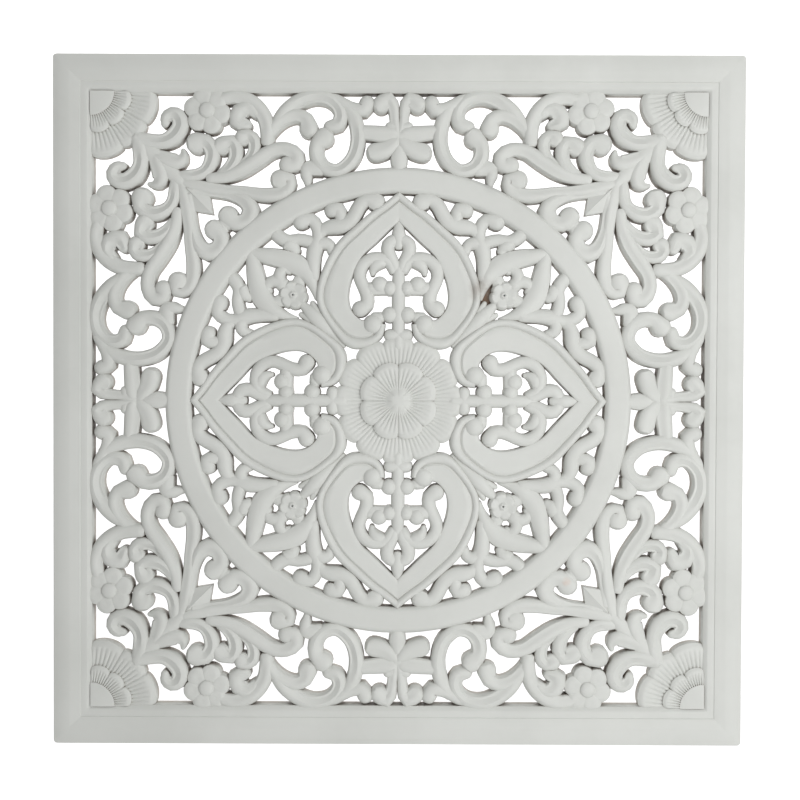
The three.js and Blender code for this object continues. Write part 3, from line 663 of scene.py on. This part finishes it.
def stroke(knots, sizes, flute, crest_share):
    """A stroke with upright walls, a round top and round ends, fluted along its inner bend."""
    seated = []
    for x, y, half in knots:
        place_x, place_y, stretch = seat(x, y, sizes)
        seated.append((place_x, place_y, half * stretch + STROKE_SPREAD))
    spots, headings = capped(*centripetal(seated))
    bends = (np.diff(headings) + math.pi) % (2 * math.pi) - math.pi
    side = 1 if bends.sum() > 0 else -1
    turn = np.linspace(math.pi, 0, FLUTED_STEPS if flute else PLAIN_STEPS)
    across, lift = np.cos(turn), np.sin(turn) ** DOME_POWER
    groove = np.exp(-((across - side * FLUTE_PLACE) / FLUTE_WIDTH) ** 2)
    rise_limit = (sizes["crest"] - sizes["wall"]) * crest_share
    sections = []
    for i, ((x, y, half), heading) in enumerate(zip(spots, headings)):
        share = i / (len(spots) - 1)
        depth = flute * eased(share, *FLUTE_START) * (1 - eased(share, *FLUTE_STOP))
        rise = min(rise_limit, DOME_RISE * half)
        offsets = np.concatenate([[-1], across, [1]]) * half
        tops = sizes["wall"] + rise * (lift - depth * groove * lift)
        heights = np.concatenate([[BACK_CREEP * i], tops, [BACK_CREEP * i]])
        sections.append(np.stack([
            x - math.sin(heading) * offsets, y + math.cos(heading) * offsets, heights,
        ], axis=1))
    mirrored(*loft(sections))


def strokes(drawing, sizes):
    """Every stroke of one drawing, with its own flute and crest."""
    for name, knots in drawing.items():
        stroke(knots, sizes, FLUTES.get(name, 0.0), CREST_SHARES.get(name, 1.0))


def disc(x, y, profile, steps):
    """A turned skin at x, y from its [radius, height] profile, starting at the back's edge."""
    sections = []
    for i in range(steps):
        angle = 2 * math.pi * i / steps
        sections.append([
            (x + math.cos(angle) * radius, y + math.sin(angle) * radius, height)
            for radius, height in profile
        ])
    rows = len(profile)
    points = np.array(sections).reshape(-1, 3)
    faces = grid_faces(steps, rows, rows_close=True)
    faces.append(tuple(i * rows for i in range(steps))[::-1])
    faces.append(tuple(i * rows + rows - 1 for i in range(steps)))
    return points, faces


def dome_profile(radius, wall, crest, steps, dimple=0.0):
    """Profile of a round boss: an upright wall and a dome, with an optional dimple."""
    turn = np.linspace(0, math.pi / 2 - DOME_END, steps)
    profile = [(radius, 0.0)]
    for angle in turn:
        reach = math.cos(angle)
        height = wall + (crest - wall) * math.sin(angle) ** DOME_POWER
        profile.append((radius * reach, height - dimple * math.exp(-(reach / DIMPLE_WIDTH) ** 2)))
    return profile


def frame_skin(sizes):
    """The moulded square frame, with rounded outer corners, as one skin around the opening."""
    band = HALF - sizes["band_width"]
    cove = band - sizes["cove_width"]
    lip = cove - sizes["lip_width"]
    edges = {"side": HALF, "band": band, "cove": cove, "lip": lip, "opening": lip - sizes["lip_bevel"]}
    levels = {"back": 0.0, "lip": sizes["lip_height"], "top": BOARD}
    points = []
    for edge, level, outwards, upwards, corner in FRAME_SECTION:
        centre = edges[edge] + outwards - corner
        for quarter, (sign_x, sign_y) in enumerate(QUARTERS):
            start = quarter * math.pi / 2
            for k in range(CORNER_STEPS + 1):
                angle = start + k / CORNER_STEPS * math.pi / 2
                points.append((
                    sign_x * centre + corner * math.cos(angle),
                    sign_y * centre + corner * math.sin(angle), levels[level] + upwards,
                ))
    around = len(QUARTERS) * (CORNER_STEPS + 1)
    faces = flipped(grid_faces(len(FRAME_SECTION), around, rows_close=True, columns_close=True))
    points = np.array(points)
    carving.add(points, turned_right(points, faces))


def ring_skin(sizes):
    """The wide ring, flat on top with small bevels."""
    profile = [(sizes["ring_outer"] - inwards, height) for inwards, height in RING_SECTION]
    profile += [(sizes["ring_inner"] + inwards, height) for inwards, height in reversed(RING_SECTION)]
    points = []
    for i in range(RING_STEPS):
        angle = 2 * math.pi * i / RING_STEPS
        points += [(math.cos(angle) * reach, math.sin(angle) * reach, height) for reach, height in profile]
    faces = grid_faces(RING_STEPS, len(profile), rows_close=True, columns_close=True)
    points = np.array(points)
    carving.add(points, turned_right(points, faces))


def scallop(angle, petals, depth, first_gap, power):
    """How deep a scalloped line is at an angle: all of the depth at the gap between two petals."""
    wave = abs(math.sin((angle - first_gap) * petals / 2))
    return depth * (1 - wave ** power)


def rib_groove(angle, count, first):
    """A row of fine radial grooves, 0 on the ribs and 1 in the grooves."""
    phase = (angle - first) * count / (2 * math.pi)
    away = abs(phase - round(phase)) * 2
    return max(0.0, 1 - away / RIB_WIDTH)


def tier_height(tier, share, angle):
    """Height of a tier of petals at a share of its radius and an angle."""
    height = tier.crown - tier.rim_drop * eased(share, *tier.rim_span) ** tier.rim_power
    height -= tier.hollow * (1 - eased(share, *tier.hollow_span))
    height += tier.boss * (1 - eased(share, *tier.boss_span))
    height -= tier.dimple * (1 - eased(share, *tier.dimple_span))
    crease = scallop(angle, tier.petals, tier.crease, tier.first_gap, tier.crease_power)
    height -= crease * eased(share, *tier.crease_span)
    ribbed = eased(share, *tier.rib_start) * (1 - eased(share, *tier.rib_stop))
    return height - tier.rib_depth * rib_groove(angle, tier.ribs, tier.first_gap) * ribbed


def petal_tier(tier, centre, angles, closed):
    """The skin of a tier of petals with a flat back, over a full turn or over a wedge."""
    top, bottom = [], []
    for angle in angles:
        rim = tier.radius - scallop(angle, tier.petals, tier.notch, tier.first_gap, tier.notch_power)
        row = []
        for share in tier.rows:
            reach = rim * share
            row.append((
                centre[0] + math.cos(angle) * reach, centre[1] + math.sin(angle) * reach,
                tier_height(tier, share, angle),
            ))
        top += row
        bottom.append((row[0][0], row[0][1], 0.0))
    rows, count = len(tier.rows), len(angles)
    back, middle = rows * count, rows * count + count
    faces = grid_faces(count, rows, rows_close=closed)
    for i in range(count if closed else count - 1):
        nxt = (i + 1) % count
        faces.append((back + i, back + nxt, nxt * rows, i * rows))
        faces.append((middle, back + nxt, back + i))
    return np.array(top + bottom + [(centre[0], centre[1], 0.0)]), faces


def full_turn(steps):
    """Evenly spread angles around a full turn."""
    return np.arange(steps) * 2 * math.pi / steps


def rosette_skins(sizes):
    """The central rosette: twelve ribbed petals, and eight inner petals with a boss on them."""
    outer = ROSETTE_OUTER._replace(radius=sizes["rosette_radius"])
    for tier, steps in ((outer, ROSETTE_OUTER_STEPS), (ROSETTE_INNER, ROSETTE_INNER_STEPS)):
        points, faces = petal_tier(tier, (0, 0), full_turn(steps), True)
        carving.add(points, turned_right(points, faces))


def fan_skins(sizes):
    """Quarter rosettes in the corners of the opening."""
    centre = (sizes["opening"] + FAN_SETBACK, sizes["opening"] + FAN_SETBACK)
    angles = math.pi + np.linspace(0, math.pi / 2, FAN_STEPS)
    outer = FAN_OUTER._replace(radius=sizes["fan_radius"])
    for tier in (outer, FAN_INNER, FAN_DISC):
        quarters(*petal_tier(tier, centre, angles, False))


def quarters(points, faces):
    """Adds a skin to the carving in each of the four corners."""
    for turn in range(4):
        angle = turn * math.pi / 2
        spin = np.array([[math.cos(angle), -math.sin(angle)], [math.sin(angle), math.cos(angle)]])
        copy = points.copy()
        copy[:, :2] = points[:, :2] @ spin.T
        carving.add(copy, faces, fresh=turn == 0)


def flower_skins(sizes):
    """Six-petalled flowers beside the corner scrolls, and round flowers inside the ring."""
    x, y, stretch = seat(*FLOWER_CENTRE, sizes)
    reach = PETAL_REACH * stretch
    petal = dome_profile(PETAL_RADIUS * stretch, PETAL_WALL, PETAL_CREST, PETAL_DOME_STEPS, PETAL_DIMPLE)
    for i in range(FLOWER_PETALS):
        angle = math.radians(FIRST_PETAL + 360 / FLOWER_PETALS * i)
        place_x = x + reach * math.cos(angle)
        place_y = y + reach * math.sin(angle)
        mirrored(*disc(place_x, place_y, petal, PETAL_SIDES))
    button = dome_profile(BUTTON_RADIUS, BUTTON_WALL, BUTTON_CREST, BUTTON_DOME_STEPS)
    mirrored(*disc(x, y, button, BUTTON_SIDES))

    x, y, _ = seat(*ROUND_FLOWER_CENTRE, sizes)
    mirrored(*petal_tier(ROUND_FLOWER, (x, y), full_turn(ROUND_FLOWER_STEPS), True))


def heart_rows(sizes):
    """The outer, groove and inner edges of a heart's right half, evened out along its length."""
    outer = resampled(HEART_OUTER, sizes)
    groove = resampled(HEART_GROOVE, sizes)
    inner = resampled(HEART_INNER, sizes)
    middle = smoothed(outer, HEART_STEPS // 2)
    span = HEART_STEPS + HEART_STEPS // 2
    return middle, middle + smoothed(groove - outer, span), middle + smoothed(inner - outer, span)


def smoothed(row, span):
    """Evens out a row along the heart over a span of points to each side, with its two ends kept."""
    kernel = np.hanning(2 * span + 3)[1:-1]
    kernel /= kernel.sum()
    reach = len(kernel) // 2
    padded = np.vstack([2 * row[0] - row[reach:0:-1], row, 2 * row[-1] - row[-2:-reach - 2:-1]])
    return np.stack([np.convolve(padded[:, k], kernel, "valid") for k in (0, 1)], axis=1)


def resampled(edge, sizes):
    """A smooth row of points through an edge, the same number between each pair."""
    points = np.array([seat(x, y, sizes)[:2] for x, y in edge])
    row = []
    for start, _, slope, bend, twist in spans(points):
        for k in range(HEART_STEPS):
            t = k / HEART_STEPS
            row.append(start + slope * t + bend * t ** 2 + twist * t ** 3)
    row.append(points[-1])
    return np.array(row)


def heart_skins(sizes):
    """Hearts: a round bead along the outer edge, a groove and a band that dips a little."""
    sections = []
    for a, b, c in zip(*heart_rows(sizes)):
        row = [(a[0], a[1], 0.0)]
        row += [(*(a + (b - a) * share), height) for share, height in HEART_BEAD]
        row += [(*(b + (c - b) * share), height) for share, height in HEART_BAND]
        row.append((c[0], c[1], 0.0))
        sections.append(row)
    mirrored(*loft(np.array(sections)))


def leaf_skin(sizes):
    """The spearhead on the diagonal: flat back, four walls, and four facets that meet at a ridge."""
    outline = [seat(x, y, sizes)[:2] for x, y in DIAGONAL_LEAF]
    ridge = [seat(x, x, sizes)[:2] for x in LEAF_RIDGE]
    base = [(x, y, 0.0) for x, y in outline]
    rim = [(x, y, height) for (x, y), height in zip(outline, LEAF_RIM_HEIGHTS)]
    crest = [(x, y, height) for (x, y), height in zip(ridge, LEAF_RIDGE_HEIGHTS)]
    faces = [(3, 2, 1, 0)]
    faces += [(i, (i + 1) % 4, 4 + (i + 1) % 4, 4 + i) for i in range(4)]
    faces += [(4, 5, 9, 8), (5, 6, 10, 9), (6, 7, 9, 10), (7, 4, 8, 9)]
    mirrored(np.array(base + rim + crest), faces)


def pocket_skin(sizes):
    """The rough floor of the one gap that wasn't cut through."""
    outline = [seat(x, y, sizes)[:2] for x, y in POCKET]
    count = len(outline)
    points = np.array([(x, y, height) for height in (0.0, POCKET_FLOOR) for x, y in outline])
    faces = [tuple(range(count))[::-1], tuple(range(count, 2 * count))]
    faces += [(i, (i + 1) % count, count + (i + 1) % count, count + i) for i in range(count)]
    carving.add(points, turned_right(points, faces), [0] * count + [1] * count)


def stand_up(points):
    """From the flat drawing in millimetres to the frame's place in metres."""
    return np.stack([
        points[:, 0] * MM, BACK - points[:, 2] * MM, points[:, 1] * MM + MIDDLE_HEIGHT,
    ], axis=1)


class PANEL_OT_frame(bpy.types.Operator):
    """Builds the moulded square frame and the ring"""

    bl_idname = "wall_panel.frame"
    bl_label = "Frame and ring"

    def execute(self, context):
        sizes = sizes_mm()
        frame_skin(sizes)
        ring_skin(sizes)
        return {"FINISHED"}


class PANEL_OT_scrolls(bpy.types.Operator):
    """Builds the scrolls, palmettes and fronds between ring and frame"""

    bl_idname = "wall_panel.scrolls"
    bl_label = "Outer scrolls"

    def execute(self, context):
        strokes(OUTER_STROKES, sizes_mm())
        return {"FINISHED"}


class PANEL_OT_lilies(bpy.types.Operator):
    """Builds the stems, curls and lilies inside the ring"""

    bl_idname = "wall_panel.lilies"
    bl_label = "Inner scrolls"

    def execute(self, context):
        sizes = sizes_mm()
        strokes(INNER_STROKES, sizes)
        for x, y, radius, height in KNOBS:
            x, y, stretch = seat(x, y, sizes)
            profile = dome_profile(radius * stretch, sizes["wall"], height, KNOB_DOME_STEPS)
            mirrored(*disc(x, y, profile, KNOB_SIDES))
        return {"FINISHED"}


class PANEL_OT_hearts(bpy.types.Operator):
    """Builds the hearts, the leaves between them and the floor of the one blind gap"""

    bl_idname = "wall_panel.hearts"
    bl_label = "Hearts"

    def execute(self, context):
        sizes = sizes_mm()
        heart_skins(sizes)
        leaf_skin(sizes)
        pocket_skin(sizes)
        return {"FINISHED"}


class PANEL_OT_flowers(bpy.types.Operator):
    """Builds the rosette, the corner fans and the small flowers"""

    bl_idname = "wall_panel.flowers"
    bl_label = "Rosette, fans and flowers"

    def execute(self, context):
        sizes = sizes_mm()
        rosette_skins(sizes)
        fan_skins(sizes)
        flower_skins(sizes)
        return {"FINISHED"}


# Noises in the paint: scale, detail and roughness
MOTTLE = (7.0, 6.0, 0.62)
DUST = (55.0, 5.0, 0.6)
SPECKS = (210.0, 4.0, 0.5)

# Smooth steps in the paint: from and to which value each runs, and what it gives at both
THIN_PAINT_STEP = (0.38, 0.72, 0.0, 0.6)
UPRIGHT_STEP = (0.25, 0.75, 1.0, 0.0)
WALL_PAINT_AND_SHADE_PATCH_STEP = (0.25, 0.6, 0.55, 1.0)
CREVICE_DIRT_AND_SHADE_STEP = (0.12, 0.5, 0.85, 0.0)
RAW_STEP = (0.3, 0.6, 0.6, 1.0)
PATCHY_STEP = (0.35, 0.6, 0.2, 1.0)
ROUGHNESS_STEP = (0.3, 0.7, 0.5, 0.68)

# How far a crevice's other side may be for it to get brown dirt and painted shade, in metres, and the rays
# that find it
CREVICE_REACH = 0.009
CREVICE_SAMPLES = 8

# Where the thin brown paint and painted shade on a cut wall start, and where they are strongest, in
# millimetres above the back
WALL_TINT_TOP = 10.5
WALL_TINT_FULL = 3.0

# The grain: shares of dust and specks in it, its strength, and its depth in metres
GRAIN_DUST = 0.7
GRAIN_SPECKS = 0.3
GRAIN_STRENGTH = 0.22
GRAIN_DEPTH = 0.0005

# Small marks on the paint: (x, y, height, radius, softness) in millimetres, strength and colour. The last
# one is painted shade over the blind pocket.
MARKS = [
    (147.5, -157.5, 15.5, 3.2, 2.2, 0.5, (0.62, 0.36, 0.24, 1.0)),
    (83.0, 191.0, 14.0, 9.0, 6.0, 0.35, (0.33, 0.33, 0.32, 1.0)),
    # painted shade, dark brown, over the blind pocket and the walls beside it
    (72.0, 97.0, 12.0, 10.0, 5.0, 0.45, (0.20, 0.15, 0.11, 1.0)),
]


class Graph:
    """Small helper that lays out and links the nodes of one material."""

    def __init__(self, name):
        self.material = bpy.data.materials.new(name)
        self.material.use_nodes = True
        self.nodes = self.material.node_tree.nodes
        self.links = self.material.node_tree.links
        self.shader = self.nodes["Principled BSDF"]

    def put(self, socket, value):
        """Links an output to a socket, or sets the socket's own value."""
        if isinstance(value, bpy.types.NodeSocket):
            self.links.new(value, socket)
        else:
            socket.default_value = value

    def noise(self, place, scale, detail, roughness):
        """Fine-grained noise over a place."""
        node = self.nodes.new("ShaderNodeTexNoise")
        node.inputs["Scale"].default_value = scale
        node.inputs["Detail"].default_value = detail
        node.inputs["Roughness"].default_value = roughness
        self.put(node.inputs["Vector"], place)
        return node.outputs["Fac"]

    def remap(self, value, low, high, to_low=0.0, to_high=1.0):
        """A smooth step of a value between low and high."""
        node = self.nodes.new("ShaderNodeMapRange")
        node.interpolation_type = "SMOOTHSTEP"
        node.inputs["From Min"].default_value = low
        node.inputs["From Max"].default_value = high
        node.inputs["To Min"].default_value = to_low
        node.inputs["To Max"].default_value = to_high
        self.put(node.inputs["Value"], value)
        return node.outputs["Result"]

    def math(self, operation, first, second):
        """One operation on two values."""
        node = self.nodes.new("ShaderNodeMath")
        node.operation = operation
        self.put(node.inputs[0], first)
        self.put(node.inputs[1], second)
        return node.outputs["Value"]

    def blend(self, factor, first, second):
        """A mix of two colours."""
        node = self.nodes.new("ShaderNodeMix")
        node.data_type = "RGBA"
        self.put(node.inputs["Factor"], factor)
        self.put(node.inputs["A"], first)
        self.put(node.inputs["B"], second)
        return node.outputs["Result"]

    def near(self, place, spot, radius, softness):
        """1 within a radius of a spot on the panel, fading to 0."""
        node = self.nodes.new("ShaderNodeVectorMath")
        node.operation = "DISTANCE"
        self.put(node.inputs[0], place)
        node.inputs[1].default_value = spot
        return self.remap(node.outputs["Value"], radius - softness, radius + softness, 1.0, 0.0)


def on_panel(x, y, height):
    """A place on the panel, from the flat drawing's millimetres to metres in the frame."""
    return (x * MM, BACK - height * MM, y * MM + MIDDLE_HEIGHT)


def painted_board(colours):
    """White-grey paint on wood fibre board: mottled and fine grained, thin and brown with painted shade
    low on the cut walls, and brown painted shade in the narrowest crevices.
    """
    graph = Graph("painted_board")
    coordinates = graph.nodes.new("ShaderNodeTexCoord")
    place = coordinates.outputs["Object"]
    mottle = graph.noise(place, *MOTTLE)
    specks = graph.noise(place, *SPECKS)
    dust = graph.noise(place, *DUST)
    paint = graph.blend(graph.remap(mottle, *THIN_PAINT_STEP), colours.paint, colours.worn_paint)

    spot = graph.nodes.new("ShaderNodeSeparateXYZ")
    graph.put(spot.inputs["Vector"], place)
    facing = graph.nodes.new("ShaderNodeSeparateXYZ")
    graph.put(facing.inputs["Vector"], coordinates.outputs["Normal"])
    # Painted shade with thin brown paint: on upright walls, low down towards the back, in patches
    upright = graph.remap(graph.math("ABSOLUTE", facing.outputs["Y"], 0.0), *UPRIGHT_STEP)
    deep = graph.remap(spot.outputs["Y"], BACK - WALL_TINT_TOP * MM, BACK - WALL_TINT_FULL * MM)
    walls = graph.math("MULTIPLY", upright, deep)
    walls = graph.math("MULTIPLY", walls, graph.remap(dust, *WALL_PAINT_AND_SHADE_PATCH_STEP))
    tinted = graph.blend(walls, paint, colours.wall_thin_paint_and_shade)

    # Painted shade with brown dirt: crevices darken where ambient occlusion finds a near wall
    hollow = graph.nodes.new("ShaderNodeAmbientOcclusion")
    hollow.samples = CREVICE_SAMPLES
    hollow.inputs["Distance"].default_value = CREVICE_REACH
    crevice_dirt_and_shade = graph.remap(hollow.outputs["AO"], *CREVICE_DIRT_AND_SHADE_STEP)
    tinted = graph.blend(crevice_dirt_and_shade, tinted, colours.crevice)

    raw = graph.nodes.new("ShaderNodeAttribute")
    raw.attribute_name = "raw_board"
    raw_share = graph.math("MULTIPLY", raw.outputs["Fac"], graph.remap(specks, *RAW_STEP))
    colour = graph.blend(raw_share, tinted, colours.raw_board)
    # The last mark lays painted shade over the blind pocket.
    for x, y, height, radius, softness, share, tone in MARKS:
        mark = graph.near(place, on_panel(x, y, height), radius * MM, softness * MM)
        patch = graph.remap(dust, *PATCHY_STEP)
        mark = graph.math("MULTIPLY", graph.math("MULTIPLY", mark, patch), share)
        colour = graph.blend(mark, colour, tone)
    graph.put(graph.shader.inputs["Base Color"], colour)
    graph.put(graph.shader.inputs["Roughness"], graph.remap(specks, *ROUGHNESS_STEP))

    coarse = graph.math("MULTIPLY", dust, GRAIN_DUST)
    relief = graph.math("ADD", coarse, graph.math("MULTIPLY", specks, GRAIN_SPECKS))
    grain = graph.nodes.new("ShaderNodeBump")
    grain.inputs["Strength"].default_value = GRAIN_STRENGTH
    grain.inputs["Distance"].default_value = GRAIN_DEPTH
    graph.put(grain.inputs["Height"], relief)
    graph.put(graph.shader.inputs["Normal"], grain.outputs["Normal"])
    return graph.material


class PANEL_OT_join(bpy.types.Operator):
    """Joins every skin into the one carved piece and gives it its paint"""

    bl_idname = "wall_panel.join"
    bl_label = "Join and paint"

    def execute(self, context):
        points = stand_up(np.vstack(carving.points))
        mesh = bpy.data.meshes.new(PIECE_NAME)
        mesh.from_pydata(points.tolist(), [], carving.faces)
        if mesh.validate():
            raise RuntimeError("the carving holds a broken face")
        mesh.polygons.foreach_set("use_smooth", np.ones(len(mesh.polygons), bool))
        mesh.set_sharp_from_angle(angle=SHARP_ANGLE)
        raw = np.concatenate(carving.raw)
        mesh.attributes.new("raw_board", "FLOAT", "POINT").data.foreach_set("value", raw)
        mesh.materials.append(painted_board(context.scene.panel_colours))
        piece = bpy.data.objects.new(PIECE_NAME, mesh)
        context.scene.collection.objects.link(piece)
        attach(piece, "root")
        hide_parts("carved_panel")
        return {"FINISHED"}


def plain_material(name, colour, roughness, glow=0.0):
    """A pale plain finish for the stage, which may give off a little light."""
    material = bpy.data.materials.new(name)
    material.use_nodes = True
    shader = material.node_tree.nodes["Principled BSDF"]
    shader.inputs["Base Color"].default_value = colour
    shader.inputs["Roughness"].default_value = roughness
    shader.inputs["Emission Color"].default_value = colour
    shader.inputs["Emission Strength"].default_value = glow
    return material


def stage_plane(name, place, turn, material):
    """A square sheet of the stage, turned about its x axis."""
    half = SHEET_SIZE / 2
    mesh = bpy.data.meshes.new(name)
    corners = [(-half, -half, 0), (half, -half, 0), (half, half, 0), (-half, half, 0)]
    mesh.from_pydata(corners, [], [(0, 1, 2, 3)])
    mesh.materials.append(material)
    sheet = bpy.data.objects.new(name, mesh)
    sheet.matrix_world = Matrix.Translation(place) @ Matrix.Rotation(turn, 4, "X")
    bpy.context.scene.collection.objects.link(sheet)


def softbox(name, place, target, size, watts):
    """A large soft light that looks at a point."""
    data = bpy.data.lights.new(name, "AREA")
    data.shape = "RECTANGLE"
    data.size, data.size_y = size
    data.energy = watts
    light = bpy.data.objects.new(name, data)
    light.location = place
    light.rotation_euler = (Vector(target) - Vector(place)).to_track_quat("-Z", "Y").to_euler()
    bpy.context.scene.collection.objects.link(light)


# Camera, in metres from the panel's middle: it stands a little above it and looks a little down
CAMERA_PLACE = (0.0034, -1.062, 0.0194)
CAMERA_LOOK = (-0.0017, 0.9998, -0.0177)
CAMERA_UP = (-0.0038, 0.0177, 0.9998)
FOCAL_PIXELS = 1200
PICTURE_PIXELS = 800
SENSOR = 36.0

# The stage, in metres: its sheets' size, how far the wall stands behind the panel and above its
# middle, how far the floor lies below it, and how much the wall glows
SHEET_SIZE = 8.0
WALL_GAP = 1.6
WALL_LIFT = 2.0
FLOOR_DROP = 1.2
SHEET_ROUGHNESS = 0.9
WALL_GLOW = 0.55

# Soft lights: name, place and target in metres from the panel's middle, width and height, watts
LIGHTS = [
    ("key_light", (0.78, -1.0, 0.06), (0, 0, 0), (0.7, 0.7), 4.7),
    ("front_light", (0.3, -0.85, 0.0), (0, 0, 0), (0.5, 2.2), 4.7),
    ("backdrop_light", (0, 0.25, 1.6), (0, 1.6, 0), (2.4, 0.6), 25),
]
WORLD_COLOUR = (1, 1, 1, 1)
WORLD_LIGHT = 0.43


class PANEL_OT_stage(bpy.types.Operator):
    """Sets the pale wall and floor, the soft lights and the camera"""

    bl_idname = "wall_panel.stage"
    bl_label = "Stage"

    def execute(self, context):
        colour = context.scene.panel_colours.backdrop
        middle = Vector((0, BACK, MIDDLE_HEIGHT))
        wall = plain_material("pale_backdrop", colour, SHEET_ROUGHNESS, WALL_GLOW)
        ground = plain_material("pale_floor", colour, SHEET_ROUGHNESS)
        stage_plane("backdrop", (0, BACK + WALL_GAP, MIDDLE_HEIGHT + WALL_LIFT), math.pi / 2, wall)
        stage_plane("floor", (0, BACK, PANEL_LOW[2] - FLOOR_DROP), 0.0, ground)
        for name, place, target, size, watts in LIGHTS:
            softbox(name, middle + Vector(place), middle + Vector(target), size, watts)
        context.scene.view_settings.view_transform = "Standard"
        world = bpy.data.worlds.new("studio")
        world.use_nodes = True
        background = world.node_tree.nodes["Background"]
        background.inputs["Color"].default_value = WORLD_COLOUR
        background.inputs["Strength"].default_value = WORLD_LIGHT
        context.scene.world = world
        data = bpy.data.cameras.new("camera")
        data.sensor_width = SENSOR
        data.lens = FOCAL_PIXELS / PICTURE_PIXELS * SENSOR
        camera = bpy.data.objects.new("camera", data)
        look, up = Vector(CAMERA_LOOK).normalized(), Vector(CAMERA_UP)
        right = look.cross(up).normalized()
        up = right.cross(look)
        turn = Matrix((right, up, -look)).transposed().to_4x4()
        camera.matrix_world = Matrix.Translation(middle + Vector(CAMERA_PLACE)) @ turn
        context.scene.collection.objects.link(camera)
        context.scene.camera = camera
        return {"FINISHED"}


class PANEL_PT_sidebar(bpy.types.Panel):
    """Lists the steps that build the panel"""

    bl_idname = "PANEL_PT_sidebar"
    bl_label = "Wall panel"
    bl_space_type = "VIEW_3D"
    bl_region_type = "UI"
    bl_category = "Wall panel"

    def draw(self, context):
        for step in STEPS:
            self.layout.operator(step.bl_idname)
        for group in (context.scene.panel_sizes, context.scene.panel_colours):
            for name in group.__annotations__:
                self.layout.prop(group, name)


STEPS = (
    PANEL_OT_frame, PANEL_OT_scrolls, PANEL_OT_lilies, PANEL_OT_hearts, PANEL_OT_flowers,
    PANEL_OT_join, PANEL_OT_stage,
)
CLASSES = (PanelSizes, PanelColours, *STEPS, PANEL_PT_sidebar)


def register():
    """Makes the settings, the steps and the sidebar known to Blender."""
    for each in CLASSES:
        bpy.utils.register_class(each)
    bpy.types.Scene.panel_sizes = PointerProperty(type=PanelSizes)
    bpy.types.Scene.panel_colours = PointerProperty(type=PanelColours)


def unregister():
    """Takes the settings, the steps and the sidebar away again."""
    del bpy.types.Scene.panel_colours
    del bpy.types.Scene.panel_sizes
    for each in reversed(CLASSES):
        bpy.utils.unregister_class(each)


def main():
    """Builds the panel and its stage."""
    register()
    for step in STEPS:
        group, name = step.bl_idname.split(".")
        getattr(getattr(bpy.ops, group), name)()


if __name__ == "__main__":
    main()
